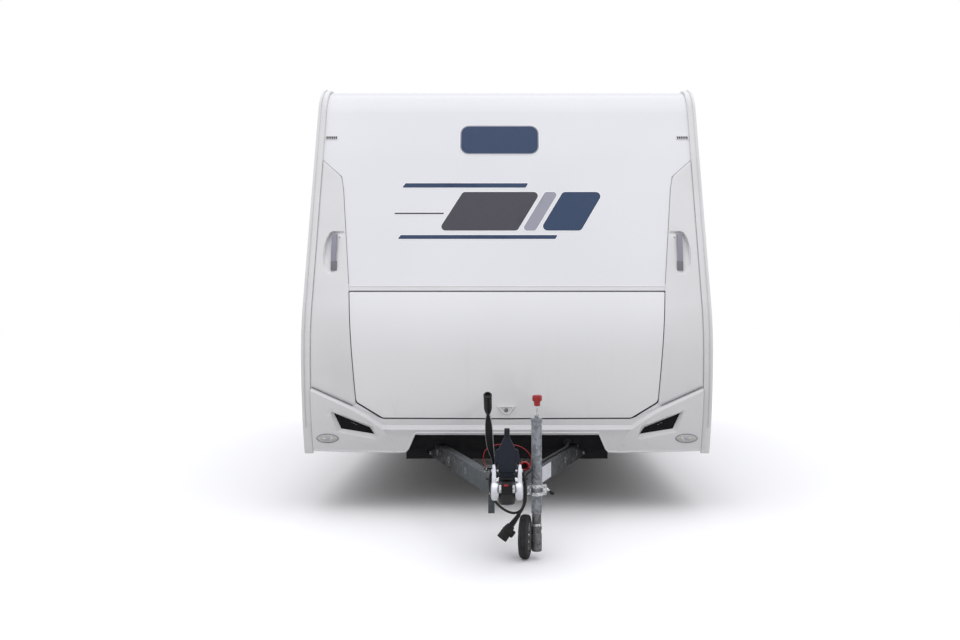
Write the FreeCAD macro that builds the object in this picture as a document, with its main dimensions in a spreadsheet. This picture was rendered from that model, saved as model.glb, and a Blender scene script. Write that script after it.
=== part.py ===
import FreeCAD, Part
import Sketcher
import math
import os
import re
from FreeCAD import Vector as V, Placement, Rotation

# Travel caravan with an A-frame drawbar, millimetres.
# +Z up, the drawbar points to -Y, the door is in the -X wall.
# "Depth" values in the tables are measured from the foremost line of the
# body towards the rear; nose_y puts that line into the frame.

os.makedirs("parts", exist_ok=True)
doc = FreeCAD.newDocument("Caravan")

# ---------------------------------------------------------------- dimensions
DIMS = [
    # alias, millimetres or degrees
    ("nose_y", -1810), ("body_length", 4950), ("wall_in", 1108), ("wall_out", 1138),
    ("wall_thick", 30), ("rail_out", 1150), ("rail_in", 1100), ("panel_in", 1108),
    ("trim_in", 1097), ("roof_top", 2508), ("floor_low", 372), ("floor_high", 416),
    ("skirt_low", 324), ("skirt_high", 450), ("skirt_thick", 12),
    ("low_radius", 1732), ("mid_radius", 765), ("brow_radius", 250), ("tail_radius", 180),
    ("waist_z", 904), ("slope_deg", 20.5), ("brow_y", 721.4), ("brow_z", 2258),
    ("axle_y", 970), ("axle_z", 318), ("arch_radius", 360), ("track_half", 1000),
    ("tyre_radius", 318), ("tyre_width", 185), ("bead_radius", 178), ("rim_width", 152),
    ("housing_radius", 385), ("housing_in", 868), ("sheet_thick", 5),
    ("door_front", 1755), ("door_width", 590), ("door_low", 475), ("door_height", 1750),
    ("door_gap", 5), ("hinge_x", 1144.5), ("hinge_radius", 5.5),
    ("hatch_front", 4350), ("hatch_width", 350), ("hatch_low", 485), ("hatch_height", 225),
    ("window_proud", 9), ("window_lap", 20),
    ("rail_web", 5), ("rail_flange", 50), ("rail_depth", 120), ("rail_low", 252),
    ("rail_half", 600), ("rail_front", 350), ("rail_rear", 4800),
    ("beam_tip_y", -1000), ("beam_tip_x", 58), ("beam_deg", 17.2234), ("beam_low", 285), ("beam_depth", 87), ("beam_length", 1455),
    ("tow_y", -3122), ("tow_z", 390), ("ball_radius", 25.2), ("shaft_z", 415),
    ("shaft_radius", 25), ("shaft_bore", 20), ("housing_tube", 35), ("bellows_radius", 52),
    ("jockey_x", 136), ("jockey_y", -2760), ("jockey_radius", 24), ("jockey_bore", 21.1),
    ("leg_radius", 21), ("jockey_top", 642), ("jockey_low", 210),
    ("jockey_wheel_radius", 100), ("jockey_wheel_x", 83), ("jockey_wheel_width", 46), ("jockey_yaw", -8),
    ("brake_pivot_y", -2660), ("brake_pivot_z", 402),
    ("damper_pivot_y", -3060), ("damper_pivot_z", 450),
    ("steady_length", 440), ("board_thick", 15),
    ("plug_cable_radius", 5.5), ("pull_cable_radius", 2),
]
dims = doc.addObject("Spreadsheet::Sheet", "Dims")
for row, (alias, value) in enumerate(DIMS, 1):
    dims.set("A%d" % row, alias)
    dims.set("B%d" % row, str(value))
    dims.setAlias("B%d" % row, alias)
doc.recompute()
D = {alias: float(value) for alias, value in DIMS}
WORD = re.compile(r"[A-Za-z_][A-Za-z_0-9]*")


def ex(text):
    """Expression text with every alias prefixed by the sheet's name."""
    return WORD.sub(lambda m: "Dims." + m.group(0) if m.group(0) in D else m.group(0), text)


def put(obj, prop, item):
    if isinstance(item, str):
        obj.setExpression(prop, ex(item))
    else:
        obj.setExpression(prop, "%r" % float(item))


count = [0]


def fresh(kind):
    count[0] += 1
    return "%s_%03d" % (kind, count[0])


def label(obj, name):
    if name:
        obj.Label = name
    return obj


# ------------------------------------------------------------- basic builders
def box(x, y, z, dx, dy, dz, name=None):
    o = doc.addObject("Part::Box", fresh("Block"))
    for prop, item in (("Length", dx), ("Width", dy), ("Height", dz), ("Placement.Base.x", x),
                       ("Placement.Base.y", y), ("Placement.Base.z", z)):
        put(o, prop, item)
    return label(o, name)


TURN = {"X": Rotation(V(0, 1, 0), 90), "Y": Rotation(V(1, 0, 0), -90), "Z": Rotation()}


def cyl(axis, x, y, z, r, length, name=None):
    """Cylinder that starts at x, y, z and runs along +axis."""
    o = doc.addObject("Part::Cylinder", fresh("Round"))
    o.Placement = Placement(V(0, 0, 0), TURN[axis])
    for prop, item in (("Radius", r), ("Height", length), ("Placement.Base.x", x),
                       ("Placement.Base.y", y), ("Placement.Base.z", z)):
        put(o, prop, item)
    return label(o, name)


def cone(axis, x, y, z, r1, r2, length, name=None):
    o = doc.addObject("Part::Cone", fresh("Cone"))
    o.Placement = Placement(V(0, 0, 0), TURN[axis])
    for prop, item in (("Radius1", r1), ("Radius2", r2), ("Height", length), ("Placement.Base.x", x),
                       ("Placement.Base.y", y), ("Placement.Base.z", z)):
        put(o, prop, item)
    return label(o, name)


def cut(a, b, name=None):
    o = doc.addObject("Part::Cut", fresh("Cut"))
    o.Base, o.Tool = a, b
    return label(o, name)


def fuse(items, name=None):
    if len(items) == 1:
        return label(items[0], name)
    o = doc.addObject("Part::MultiFuse", fresh("Fuse"))
    o.Shapes = items
    o.Refine = True
    return label(o, name)


def both(a, b, name=None):
    o = doc.addObject("Part::MultiCommon", fresh("Common"))
    o.Shapes = [a, b]
    return label(o, name)


PLANES = {"XY": Rotation(), "XZ": Rotation(V(1, 0, 0), 90), "YZ": Rotation(V(1, 1, 1), 120)}


def add_loop(sketch, loop):
    """loop: points joined by lines, or a list of ("line", a, b) and
    ("arc", a, m, b) steps, or ("circle", u, v, r)."""
    if loop[0] == "circle":
        sketch.addGeometry(Part.Circle(V(loop[1], loop[2], 0), V(0, 0, 1), loop[3]), False)
        return
    steps = loop
    if not isinstance(loop[0][0], str):
        steps = [("line", a, b) for a, b in zip(loop, loop[1:] + loop[:1])]
    first = sketch.GeometryCount
    for step in steps:
        pts = [V(p[0], p[1], 0) for p in step[1:]]
        geo = Part.LineSegment(*pts) if step[0] == "line" else Part.Arc(*pts)
        sketch.addGeometry(geo, False)


def slab(plane, loops, start, length, name=None, symmetric=False):
    """Prism of a sketch. YZ runs to +X, XZ runs to -Y, XY runs to +Z;
    start is the sketch plane's place along that world axis."""
    sk = doc.addObject("Sketcher::SketchObject", fresh("Outline"))
    sk.Placement = Placement(V(0, 0, 0), PLANES[plane])
    put(sk, "Placement.Base." + {"YZ": "x", "XZ": "y", "XY": "z"}[plane], start)
    for loop in loops:
        add_loop(sk, loop)
    o = doc.addObject("Part::Extrusion", fresh("Prism"))
    o.Base = sk
    o.DirMode = "Normal"
    o.Solid = True
    o.Symmetric = symmetric
    put(o, "LengthFwd", length)
    return label(o, name)


def origin_plane(body, role):
    return [f for f in body.Origin.OriginFeatures if f.Role == role][0]


def body_sketch(body, plane, loops, offset=0):
    sk = body.newObject("Sketcher::SketchObject", fresh("Sketch"))
    sk.AttachmentSupport = [(origin_plane(body, plane + "_Plane"), "")]
    sk.MapMode = "FlatFace"
    put(sk, "AttachmentOffset.Base.z", offset)
    for loop in loops:
        add_loop(sk, loop)
    return sk


def pad_body(name, plane, loops, offset, length, pockets=()):
    """PartDesign body: one pad and through pockets on the same plane."""
    body = doc.addObject("PartDesign::Body", fresh("Body"))
    sk = body_sketch(body, plane, loops, offset)
    pad = body.newObject("PartDesign::Pad", fresh("Pad"))
    pad.Profile = sk
    put(pad, "Length", length)
    for hole in pockets:
        doc.recompute()
        before = body.Shape.Volume
        sk2 = body_sketch(body, plane, hole, offset)
        pocket = body.newObject("PartDesign::Pocket", fresh("Pocket"))
        pocket.Profile = sk2
        pocket.Type = "ThroughAll"
        pocket.Midplane = True
        doc.recompute()
        if body.Shape.Volume > before - 1:
            raise SystemExit("pocket cuts nothing in " + name)
    return label(body, name)


def turned(name, plane, loops, axis="H_Axis", place=None):
    """PartDesign body: a section turned about the sketch's own axis."""
    body = doc.addObject("PartDesign::Body", fresh("Body"))
    sk = body_sketch(body, plane, loops)
    rev = body.newObject("PartDesign::Revolution", fresh("Turned"))
    rev.Profile = sk
    rev.ReferenceAxis = (sk, [axis])
    rev.Angle = 360
    if place:
        for ax, item in zip("xyz", place):
            put(body, "Placement.Base." + ax, item)
    return label(body, name)


def rounded(u0, v0, u1, v1, r):
    """Rectangle with round corners as sketch steps."""
    k = r * (1 - math.sqrt(0.5))
    c = [(u0, v0, 1, 1), (u1, v0, -1, 1), (u1, v1, -1, -1), (u0, v1, 1, -1)]
    steps, n = [], len(c)
    ends = []
    for i, (u, v, su, sv) in enumerate(c):
        a = (u, v + sv * r) if i % 2 == 0 else (u + su * r, v)
        b = (u + su * r, v) if i % 2 == 0 else (u, v + sv * r)
        ends.append((a, (u + su * k, v + sv * k), b))
    for i in range(n):
        a, m, b = ends[i]
        steps.append(("arc", a, m, b))
        steps.append(("line", b, ends[(i + 1) % n][0]))
    return steps


def mirror(points):
    return [(-x, z) for x, z in reversed(points)]


# ------------------------------------------------------------ body profile
# Side outline of the body at an inset t: concentric arcs and one slope.
NY = D["nose_y"]
A = math.radians(D["slope_deg"])
ZW, RL, RM, RB, RT = D["waist_z"], D["low_radius"], D["mid_radius"], D["brow_radius"], D["tail_radius"]
CB = (D["brow_y"], D["brow_z"])
LEN, TOP, LOW = D["body_length"], D["roof_top"], D["skirt_low"]


def around(cy, cz, r, deg):
    a = math.radians(deg)
    return (NY + cy + r * math.cos(a), cz + r * math.sin(a))


def front_run(t):
    """Steps from the skirt line up the nose to the flat of the roof."""
    r1, r2, r3 = RL - t, RM - t, RB - t
    low = 180 + math.degrees(math.asin((ZW - LOW) / r1))
    up = 180 - D["slope_deg"]
    p0 = around(RL, ZW, r1, low)
    p1 = around(RL, ZW, r1, 180)
    p2 = around(RM, ZW, r2, up)
    p3 = around(CB[0], CB[1], r3, up)
    p4 = around(CB[0], CB[1], r3, 90)
    return [("arc", p0, around(RL, ZW, r1, (low + 180) / 2), p1),
            ("arc", p1, around(RM, ZW, r2, (180 + up) / 2), p2),
            ("line", p2, p3),
            ("arc", p3, around(CB[0], CB[1], r3, (up + 90) / 2), p4)]


def rear_run(t):
    """Steps from the flat of the roof down the rear wall to the skirt line."""
    r = RT - t
    cy, cz = LEN - RT, TOP - RT
    p5, p6 = around(cy, cz, r, 90), around(cy, cz, r, 0)
    p7 = (NY + LEN - t, 700.0)
    p8 = (NY + LEN - 30 - t, LOW)
    return [("arc", p5, around(cy, cz, r, 45), p6), ("line", p6, p7), ("line", p7, p8)]


def backwards(steps):
    return [(s[0],) + tuple(reversed(s[1:])) for s in reversed(steps)]


def ring(outer, inner):
    return (outer + [("line", outer[-1][-1], inner[-1][-1])] + backwards(inner)
            + [("line", inner[0][1], outer[0][1])])


def whole(t):
    f, r = front_run(t), rear_run(t)
    return f + [("line", f[-1][-1], r[0][1])] + r


def nose(z):
    """Depth of the nose outline behind the foremost line at a height."""
    if z <= ZW:
        return RL - math.sqrt(RL ** 2 - (ZW - z) ** 2)
    z2 = ZW + RM * math.sin(A)
    if z <= z2:
        return RM - math.sqrt(RM ** 2 - (z - ZW) ** 2)
    return RM * (1 - math.cos(A)) + (z - z2) * math.tan(A)


def band(t0, t1, width, start=None):
    """Strip of the front skin between insets t0 and t1."""
    s = "-(%s)" % width if start is None else start
    w = "2*(%s)" % width if start is None else width
    return slab("YZ", [ring(front_run(t0), front_run(t1))], s, w)


def front_piece(loops, t0, t1, name=None, width="trim_in"):
    """Part of a front strip inside an outline drawn in the front view."""
    return both(band(t0, t1, width), slab("XZ", loops, NY + 1500, 1700), name)


# ---------------------------------------------------------------- the body
ARCH = ("circle", D["axle_y"], D["axle_z"], D["arch_radius"])
side = whole(0)
side = side + [("line", side[-1][-1], side[0][1])]
# windows: wall side, depth of front edge, sill height, length, height
WINDOWS = [
    (1, 760, 1150, 800, 600),
    (1, 1880, 1420, 420, 340),
    (1, 3450, 1150, 900, 600),
    (-1, 760, 1150, 800, 600),
    (-1, 3350, 1150, 1000, 600),
]


def clipped_side():
    """Wall outline with its lower edge at z 400."""
    z = 400.0
    f, r = front_run(0), rear_run(0)
    a0 = 180 + math.degrees(math.asin((ZW - z) / RL))
    p0 = around(RL, ZW, RL, a0)
    f[0] = ("arc", p0, around(RL, ZW, RL, (a0 + 180) / 2), f[0][-1])
    k = (z - LOW) / (700.0 - LOW)
    p8 = (NY + LEN - 30 + 30 * k, z)
    r[-1] = ("line", r[-1][1], p8)
    return f + [("line", f[-1][-1], r[0][1])] + r + [("line", p8, p0)]


def wall(name, sign):
    holes = [[ARCH]]
    for sg, y0, z0, w, hgt in WINDOWS:
        if sg == sign:
            holes.append([rounded(NY + y0, z0, NY + y0 + w, z0 + hgt, 60)])
    g = D["door_gap"]
    if sign < 0:
        y0, z0 = NY + D["door_front"] - g, D["door_low"] - g
        holes.append([rounded(y0, z0, y0 + D["door_width"] + 2 * g, z0 + D["door_height"] + 2 * g, 70)])
    else:
        y0, z0 = NY + D["hatch_front"] - g, D["hatch_low"] - g
        holes.append([rounded(y0, z0, y0 + D["hatch_width"] + 2 * g, z0 + D["hatch_height"] + 2 * g, 25)])
    off = "wall_in" if sign > 0 else "-wall_out"
    return pad_body(name, "YZ", [clipped_side()], off, "wall_thick", holes)


left_wall = wall("left_wall", 1)
right_wall = wall("right_wall", -1)

LID = [(-893, 1241), (-845, 625), (-698.5, 533), (0, 530), (698.5, 533), (845, 625), (893, 1241)]
MOUTH = [(-898, 1246), (-850, 622), (-701, 527), (0, 524), (701, 527), (850, 622), (898, 1246)]
CORNER = [(-1097, 2031), (-982, 1929), (-966, 1847), (-901, 1286.5), (-850, 620), (-861, 603), (-1097, 712)]
CUP = rounded(-1050, 1350, -945, 1596, 24)
CUP_R = rounded(945, 1350, 1050, 1596, 24)
front_raw = front_piece([[(-1108, 432), (1108, 432), (1108, 2600), (-1108, 2600)]], 0, 30, width="panel_in")
front_hole = slab("XZ", [MOUTH], NY + 300, 500)
cup_tool = both(band(-1, 22, "panel_in"), fuse([slab("XZ", [CUP], NY + 600, 700),
                                                slab("XZ", [CUP_R], NY + 600, 700)]))
front_wall = cut(cut(front_raw, front_hole), cup_tool, "front_wall")
board_raw = front_piece([[(-1097, 345), (1097, 345), (1097, 431), (-1097, 431)]], 3, 27)
# notches that let the drawbar beams through
front_board = cut(board_raw, fuse([box(332, NY + 40, 330, 80, 150, 45), box(-412, NY + 40, 330, 80, 150, 45)]), "front_board")

f_end, r_top = front_run(0)[-1][-1][0], rear_run(0)[0][1][0]
roof_raw = box("-panel_in", f_end, "roof_top-wall_thick", "2*panel_in", r_top - f_end, "wall_thick")
# rooflights: depth of front edge, length, half width
ROOFLIGHTS = [(1000, 400, 200), (3550, 700, 450)]
roof_holes = [box(-w, NY + y0, 2400, 2 * w, ln, 200) for y0, ln, w in ROOFLIGHTS]
roof_panel = cut(roof_raw, fuse(roof_holes), "roof_panel")
lights = []
for y0, ln, w in ROOFLIGHTS:
    frame = cut(box(-w - 40, NY + y0 - 40, "roof_top", 2 * w + 80, ln + 80, 22),
                box(-w, NY + y0, "roof_top-1", 2 * w, ln, 30))
    dome = box(-w - 30, NY + y0 - 30, "roof_top+22", 2 * w + 60, ln + 60, 50)
    lights.append(fuse([frame, dome]))
rooflights = fuse(lights, "rooflights")

rear_raw = slab("YZ", [ring(rear_run(0), rear_run(30))], "-panel_in", "2*panel_in")
rear_clip = box(-1200, NY + 4500, 400, 2400, 600, 2200)
REAR_WINDOW = (-600, 1180, 600, 1720)
rear_hole = slab("XZ", [rounded(*REAR_WINDOW, 60)], NY + 5000, 150)
rear_wall = cut(both(rear_raw, rear_clip), rear_hole, "rear_wall")

floor_raw = box("-panel_in", NY + 125, "floor_low", "2*panel_in", 4765, "floor_high-floor_low")
notch = [box(s, "axle_y-390", 300, 300, 780, 200) for s in ("868", "-1168")]
floor_panel = cut(floor_raw, fuse(notch), "floor_panel")

rail_top = slab("YZ", [ring(whole(-14), whole(0))], "rail_in", "rail_out-rail_in")
rail_top2 = slab("YZ", [ring(whole(-14), whole(0))], "-rail_out", "rail_out-rail_in")
lip = slab("YZ", [ring(whole(-1), whole(35))], "wall_out", "skirt_thick")
lip2 = slab("YZ", [ring(whole(-1), whole(35))], "-rail_out", "skirt_thick")
edge_rails = fuse([fuse([rail_top, lip]), fuse([rail_top2, lip2])], "edge_rails")

cup_hole = fuse([slab("XZ", [CUP], NY + 600, 700), slab("XZ", [CUP_R], NY + 600, 700)])
corner_mouldings = cut(fuse([front_piece([CORNER], -8, 0), front_piece([mirror(CORNER)], -8, 0)]),
                       cup_hole, "corner_mouldings")
VENT = [(-1092, 2166), (-1023, 2166), (-1023, 2189), (-1092, 2189)]
front_trims = fuse([front_piece([[(-893, 1248), (893, 1248), (893, 1278), (-893, 1278)]], -6, 0),
                    front_piece([VENT], -4, 0), front_piece([mirror(VENT)], -4, 0)], "front_trims")
BAR = [(-1013, 1362), (-977, 1362), (-977, 1578), (-1013, 1578)]
FEET = [[(-1011, 1364), (-979, 1364), (-979, 1382), (-1011, 1382)],
        [(-1011, 1558), (-979, 1558), (-979, 1576), (-1011, 1576)]]
handles = []
for flip in (lambda p: p, mirror):
    parts = [front_piece([flip(BAR)], -18, -6)] + [front_piece([flip(f)], -8, 22) for f in FEET]
    handles.append(fuse(parts))
grab_handles = fuse(handles, "grab_handles")

# lower edge with the raised middle, then the upper edge under lid and corners
BUMPER = [(-1097, 343), (-629, 331), (-569, 333), (-557, 356), (-515, 446), (515, 446), (557, 356),
          (569, 333), (629, 331), (1097, 343), (1097, 704), (860, 595), (698, 526), (0, 523),
          (-698, 526), (-860, 595), (-1097, 704)]
NICHE = [(-994, 574), (-758, 484), (-731, 409), (-954, 454)]
INSERT = [(-973, 561), (-773, 476), (-749, 439), (-935, 469)]
niche = both(band(-31, -14, "trim_in"), fuse([slab("XZ", [NICHE], NY + 200, 400),
                                             slab("XZ", [mirror(NICHE)], NY + 200, 400)]))
front_bumper = cut(front_piece([BUMPER], -30, 0), niche, "front_bumper")
bumper_inserts = fuse([front_piece([INSERT], -22, -14), front_piece([mirror(INSERT)], -22, -14)],
                      "bumper_inserts")
OVAL = [("line", (-1050, 440), (-974, 440)), ("arc", (-974, 440), (-949, 415), (-974, 390)),
        ("line", (-974, 390), (-1050, 390)), ("arc", (-1050, 390), (-1075, 415), (-1050, 440))]
OVAL_R = [(s[0],) + tuple((-p[0], p[1]) for p in s[1:]) for s in OVAL]
front_lamps = fuse([front_piece([OVAL], -38, -30), front_piece([OVAL_R], -38, -30)], "front_lamps")

locker_lid = front_piece([LID], -5, 25, "locker_lid")
tub_side = [s for s in front_run(31)]


def tub_outline(t, y1, z0, z1):
    """Section of the locker: the nose curve in front, square behind."""
    a0 = 180 + math.degrees(math.asin((ZW - z0) / (RL - t)))
    n2 = NY + RM - (RM - t) * math.cos(A)
    z2 = ZW + (RM - t) * math.sin(A)
    p0, p1 = around(RL, ZW, RL - t, a0), around(RL, ZW, RL - t, 180)
    p3 = (n2 + (z1 - z2) * math.tan(A), z1)
    return [("arc", p0, around(RL, ZW, RL - t, (a0 + 180) / 2), p1),
            ("arc", p1, around(RM, ZW, RM - t, 180 - D["slope_deg"] / 2), (n2, z2)),
            ("line", (n2, z2), p3), ("line", p3, (y1, z1)), ("line", (y1, z1), (y1, z0)),
            ("line", (y1, z0), p0)]


tub_out = slab("YZ", [tub_outline(30, NY + 510, 470.0, 1290.0)], -906, 1812)
tub_in = slab("YZ", [tub_outline(20, NY + 500, 480.0, 1280.0)], -900, 1800)
locker_tub = cut(tub_out, tub_in, "locker_tub")

skirts = []
for sx in ("wall_out", "-rail_out"):
    plate = box(sx, NY + 140, "skirt_low", "skirt_thick", 4740, "skirt_high-skirt_low")
    trim = cyl("X", sx, "axle_y", "axle_z", "arch_radius+25", "skirt_thick")
    hole = cyl("X", "%s-1" % sx, "axle_y", "axle_z", "arch_radius", "skirt_thick+2")
    low = box("%s-2" % sx, "axle_y-500", -200, "skirt_thick+4", 1000, "skirt_low+200")
    skirts.append(cut(cut(fuse([plate, trim]), hole), low))
side_skirts = fuse(skirts, "side_skirts")

shells = []
for sign in (1, -1):
    x0 = "housing_in" if sign > 0 else "-panel_in"
    out = cyl("X", x0, "axle_y", "axle_z", "housing_radius", "panel_in-housing_in")
    xi = "housing_in+sheet_thick" if sign > 0 else "-panel_in-1"
    inn = cyl("X", xi, "axle_y", "axle_z", "housing_radius-sheet_thick", "panel_in-housing_in-sheet_thick+1")
    low = box("%s-5" % x0, "axle_y-500", -200, 400, 1000, "floor_low+200")
    shells.append(cut(cut(out, inn), low))
wheel_housings = fuse(shells, "wheel_housings")

panes = []
for sg, y0, z0, w, hgt in WINDOWS:
    lap = D["window_lap"]
    loop = rounded(NY + y0 - lap, z0 - lap, NY + y0 + w + lap, z0 + hgt + lap, 70)
    start = "wall_out" if sg > 0 else "-wall_out-window_proud"
    panes.append(slab("YZ", [loop], start, "window_proud"))
u0, v0, u1, v1 = REAR_WINDOW
panes.append(slab("XZ", [rounded(u0 - 20, v0 - 20, u1 + 20, v1 + 20, 70)],
                  "nose_y+body_length+window_proud", "window_proud"))
windows = fuse(panes, "windows")

# rear bumper and lamp clusters
REAR_BAR = [(-1097, 324), (1097, 324), (1097, 560), (760, 560), (640, 470), (-640, 470), (-760, 560),
            (-1097, 560)]
rear_strip = slab("YZ", [ring(rear_run(-30), rear_run(0))], "-trim_in", "2*trim_in")
rear_bar = both(rear_strip, slab("XZ", [REAR_BAR], NY + 5100, 400))
LAMP = [(-1060, 400), (-800, 400), (-800, 520), (-1060, 520)]
lamp_tool = fuse([slab("XZ", [LAMP], NY + 5100, 129), slab("XZ", [mirror(LAMP)], NY + 5100, 129)])
rear_bumper = cut(rear_bar, lamp_tool, "rear_bumper")
rear_lamps = fuse([box(-1058, NY + 4971, 402, 256, 7, 116), box(802, NY + 4971, 402, 256, 7, 116)],
                  "rear_lamps")

# ------------------------------------------------------------ door and hatch
dy0, dz0 = NY + D["door_front"], D["door_low"]
dw, dh = D["door_width"], D["door_height"]
DOOR_WINDOW = (dy0 + 130, dz0 + 950, dy0 + dw - 110, dz0 + dh - 190)
door_pad = pad_body(None, "YZ", [rounded(dy0, dz0, dy0 + dw, dz0 + dh, 65)], "-wall_out", "wall_thick",
                    [[rounded(*DOOR_WINDOW, 50)]])
knuckles = []
HINGES = (250, 875, 1500)
for k in HINGES:
    knuckles.append(cyl("Z", "-hinge_x", dy0 - 5, dz0 + k, "hinge_radius", 60))
    knuckles.append(box("-wall_out-4", dy0 + 1, dz0 + k, 4, 38, 60))
    knuckles.append(box("-hinge_x-3", dy0 - 4, dz0 + k, 7.5, 8, 60))
entrance_door = fuse([door_pad] + knuckles, "entrance_door")
e = DOOR_WINDOW
door_window = slab("YZ", [rounded(e[0] - 20, e[1] - 20, e[2] + 20, e[3] + 20, 60)],
                   "-wall_out-window_proud", "window_proud", "door_window")
frame_out = rounded(dy0 - 25, dz0 - 25, dy0 + dw + 25, dz0 + dh + 25, 85)
frame_in = rounded(dy0 - 14, dz0 - 5, dy0 + dw + 5, dz0 + dh + 5, 70)
door_frame = slab("YZ", [frame_out, frame_in], "-wall_out-3", 3, "door_frame")

hy0, hz0, hw, hh = NY + D["hatch_front"], D["hatch_low"], D["hatch_width"], D["hatch_height"]
hatch_pad = pad_body(None, "YZ", [rounded(hy0, hz0, hy0 + hw, hz0 + hh, 22)], "wall_in", "wall_thick")
lugs = []
for k in (50, 250):
    lugs.append(cyl("Y", "hinge_x", hy0 + k, hz0 - 5, "hinge_radius", 50))
    lugs.append(box("wall_out", hy0 + k, hz0 + 1, 4, 50, 20))
    lugs.append(box("hinge_x-4.5", hy0 + k, hz0 - 4, 7.5, 50, 8))
service_hatch = fuse([hatch_pad] + lugs, "service_hatch")

# ------------------------------------------------------------ chassis
web, flg, dep, zl = D["rail_web"], D["rail_flange"], D["rail_depth"], D["rail_low"]
ys, yr = NY + D["rail_front"], NY + D["rail_rear"]
members = []
for sx, so in ((1, 0), (-1, 1)):
    xo = "rail_half-rail_web" if sx > 0 else "-rail_half"
    xf = "rail_half-rail_flange" if sx > 0 else "-rail_half"
    members.append(box(xo, ys, "rail_low", "rail_web", yr - ys, "rail_depth"))
    members.append(box(xf, ys, "rail_low", "rail_flange", yr - ys, "rail_web"))
    members.append(box(xf, ys, "rail_low+rail_depth-rail_web", "rail_flange", yr - ys, "rail_web"))
for depth in (420, 1500, 3500, 4700):
    members.append(box("-rail_half+rail_web", NY + depth, "rail_low+40", "2*rail_half-2*rail_web", 40, 60))
# outriggers that carry the corner steadies: depth of the pivot, direction to the leg's tip
STEADIES = [("front", 640, 1), ("rear", 4420, -1)]
for _, depth, d in STEADIES:
    for sx in (1, -1):
        x0 = 600 if sx > 0 else -790
        members.append(box(x0, NY + depth - 20, 345, 190, 40, 27))
        for xx in (700, 756):
            members.append(box(sx * xx - 3, NY + depth - 20, 300, 6, 40, 46))
        members.append(cyl("X", sx * 728 - 28, NY + depth, 320, 5, 56))
# front cross member, a channel open to the rear, with a hole for the brake rod
members.append(cut(fuse([box("-rail_half+rail_web", "nose_y+rail_front", "rail_low", "2*rail_half-2*rail_web", 6, "rail_depth"),
                         box("-rail_half+rail_web", "nose_y+rail_front", "rail_low", "2*rail_half-2*rail_web", 36, 5),
                         box("-rail_half+rail_web", "nose_y+rail_front", "rail_low+rail_depth-5", "2*rail_half-2*rail_web", 36, 5)]),
                   cyl("Y", 0, NY + 340, 274, 12, 30)))
chassis_frame = fuse(members, "chassis_frame")

beams = []
for sign in (1, -1):
    for dx, dz, w, t in ((0, 0, web, dep), (-flg + web, 0, flg, web), (-flg + web, D["beam_depth"] - web, flg, web)):
        o = doc.addObject("Part::Box", fresh("Beam"))
        put(o, "Length", "rail_web" if t == dep else "rail_flange")
        put(o, "Width", "beam_length")
        put(o, "Height", "beam_depth" if t == dep else "rail_web")
        ang = math.radians(D["beam_deg"])
        off = dx - web
        if sign > 0:
            rot = Rotation(V(0, 0, 1), -D["beam_deg"])
            base = V(D["beam_tip_x"] + off * math.cos(ang), NY + D["beam_tip_y"] - off * math.sin(ang), D["beam_low"] + dz)
        else:
            rot = Rotation(V(0, 0, 1), D["beam_deg"])
            wdt = web if t == dep else flg
            base = V(-D["beam_tip_x"] - (off + wdt) * math.cos(ang),
                     NY + D["beam_tip_y"] - (off + wdt) * math.sin(ang), D["beam_low"] + dz)
        o.Placement = Placement(base, rot)
        beams.append(o)
beams.append(box("-beam_tip_x", "nose_y+beam_tip_y-6", "beam_low", "2*beam_tip_x", 8, "beam_depth"))
beams.append(box(-85, "nose_y+beam_tip_y-6", 220, 29, 6, 83))
beams.append(cyl("Z", -98, NY - 790, 371, 7, 13))
# square ends against the chassis rails
beam_end = box(-700, "nose_y+rail_front", 200, 1400, 200, 300)
drawbar_beams = cut(fuse(beams), beam_end, "drawbar_beams")

axle_parts = [box(-820, "axle_y-200", "rail_low-50", 1640, 90, 50)]
for sx in (1, -1):
    x0 = 800 if sx > 0 else -840
    axle_parts.append(box(x0, "axle_y-205", 206, 40, 100, 60))
    axle_parts.append(box(x0, "axle_y-150", 240, 40, 190, 105))
    axle_parts.append(cyl("X", 880 if sx > 0 else -955, "axle_y", "axle_z", 108, 75))
    axle_parts.append(cyl("X", 840 if sx > 0 else -1000, "axle_y", "axle_z", 22, 160))
axle = fuse(axle_parts, "axle")

# ------------------------------------------------------------ running gear
wc = D["tyre_width"] / 2
TYRE = [(-70, 178), (-70, 190), (-76, 190), (-84, 200), (-92.5, 245), (-88, 288), (-74, 311), (-45, 318), (45, 318), (74, 311),
        (88, 288), (92.5, 245), (84, 200), (76, 190), (70, 190), (70, 178)]
RIM = [(-76, 178), (-76, 190), (-70, 190), (-70, 178), (70, 178), (70, 190), (76, 190), (76, 174),
       (60, 168), (46, 160), (40, 130), (38, 90), (30, 80), (30, 60), (52, 50), (52, 26), (10, 26),
       (10, 60), (20, 92), (28, 130), (30, 158), (22, 166), (-70, 168)]


def wheel(side_name, sign):
    tyre = turned(None, "XZ", [[(x * sign, z) for x, z in TYRE]])
    rim = turned(None, "XZ", [[(x * sign, z) for x, z in RIM]])
    hub = cyl("X", -74 if sign < 0 else 50, 0, 0, 34, 24)
    vents = []
    for k in range(10):
        a = 2 * math.pi * k / 10
        c = cyl("X", -80, 110 * math.cos(a), 110 * math.sin(a), 14, 160)
        vents.append(c)
    hub_rim = fuse([cut(rim, fuse(vents)), hub])
    for src, nm in ((tyre, side_name + "_tyre"), (hub_rim, side_name + "_rim")):
        put(src, "Placement.Base.x", "track_half" if sign > 0 else "-track_half")
        put(src, "Placement.Base.y", "axle_y")
        put(src, "Placement.Base.z", "axle_z")
        src.Label = nm
    return tyre, hub_rim


left_tyre, left_rim = wheel("left", 1)
right_tyre, right_rim = wheel("right", -1)

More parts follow.
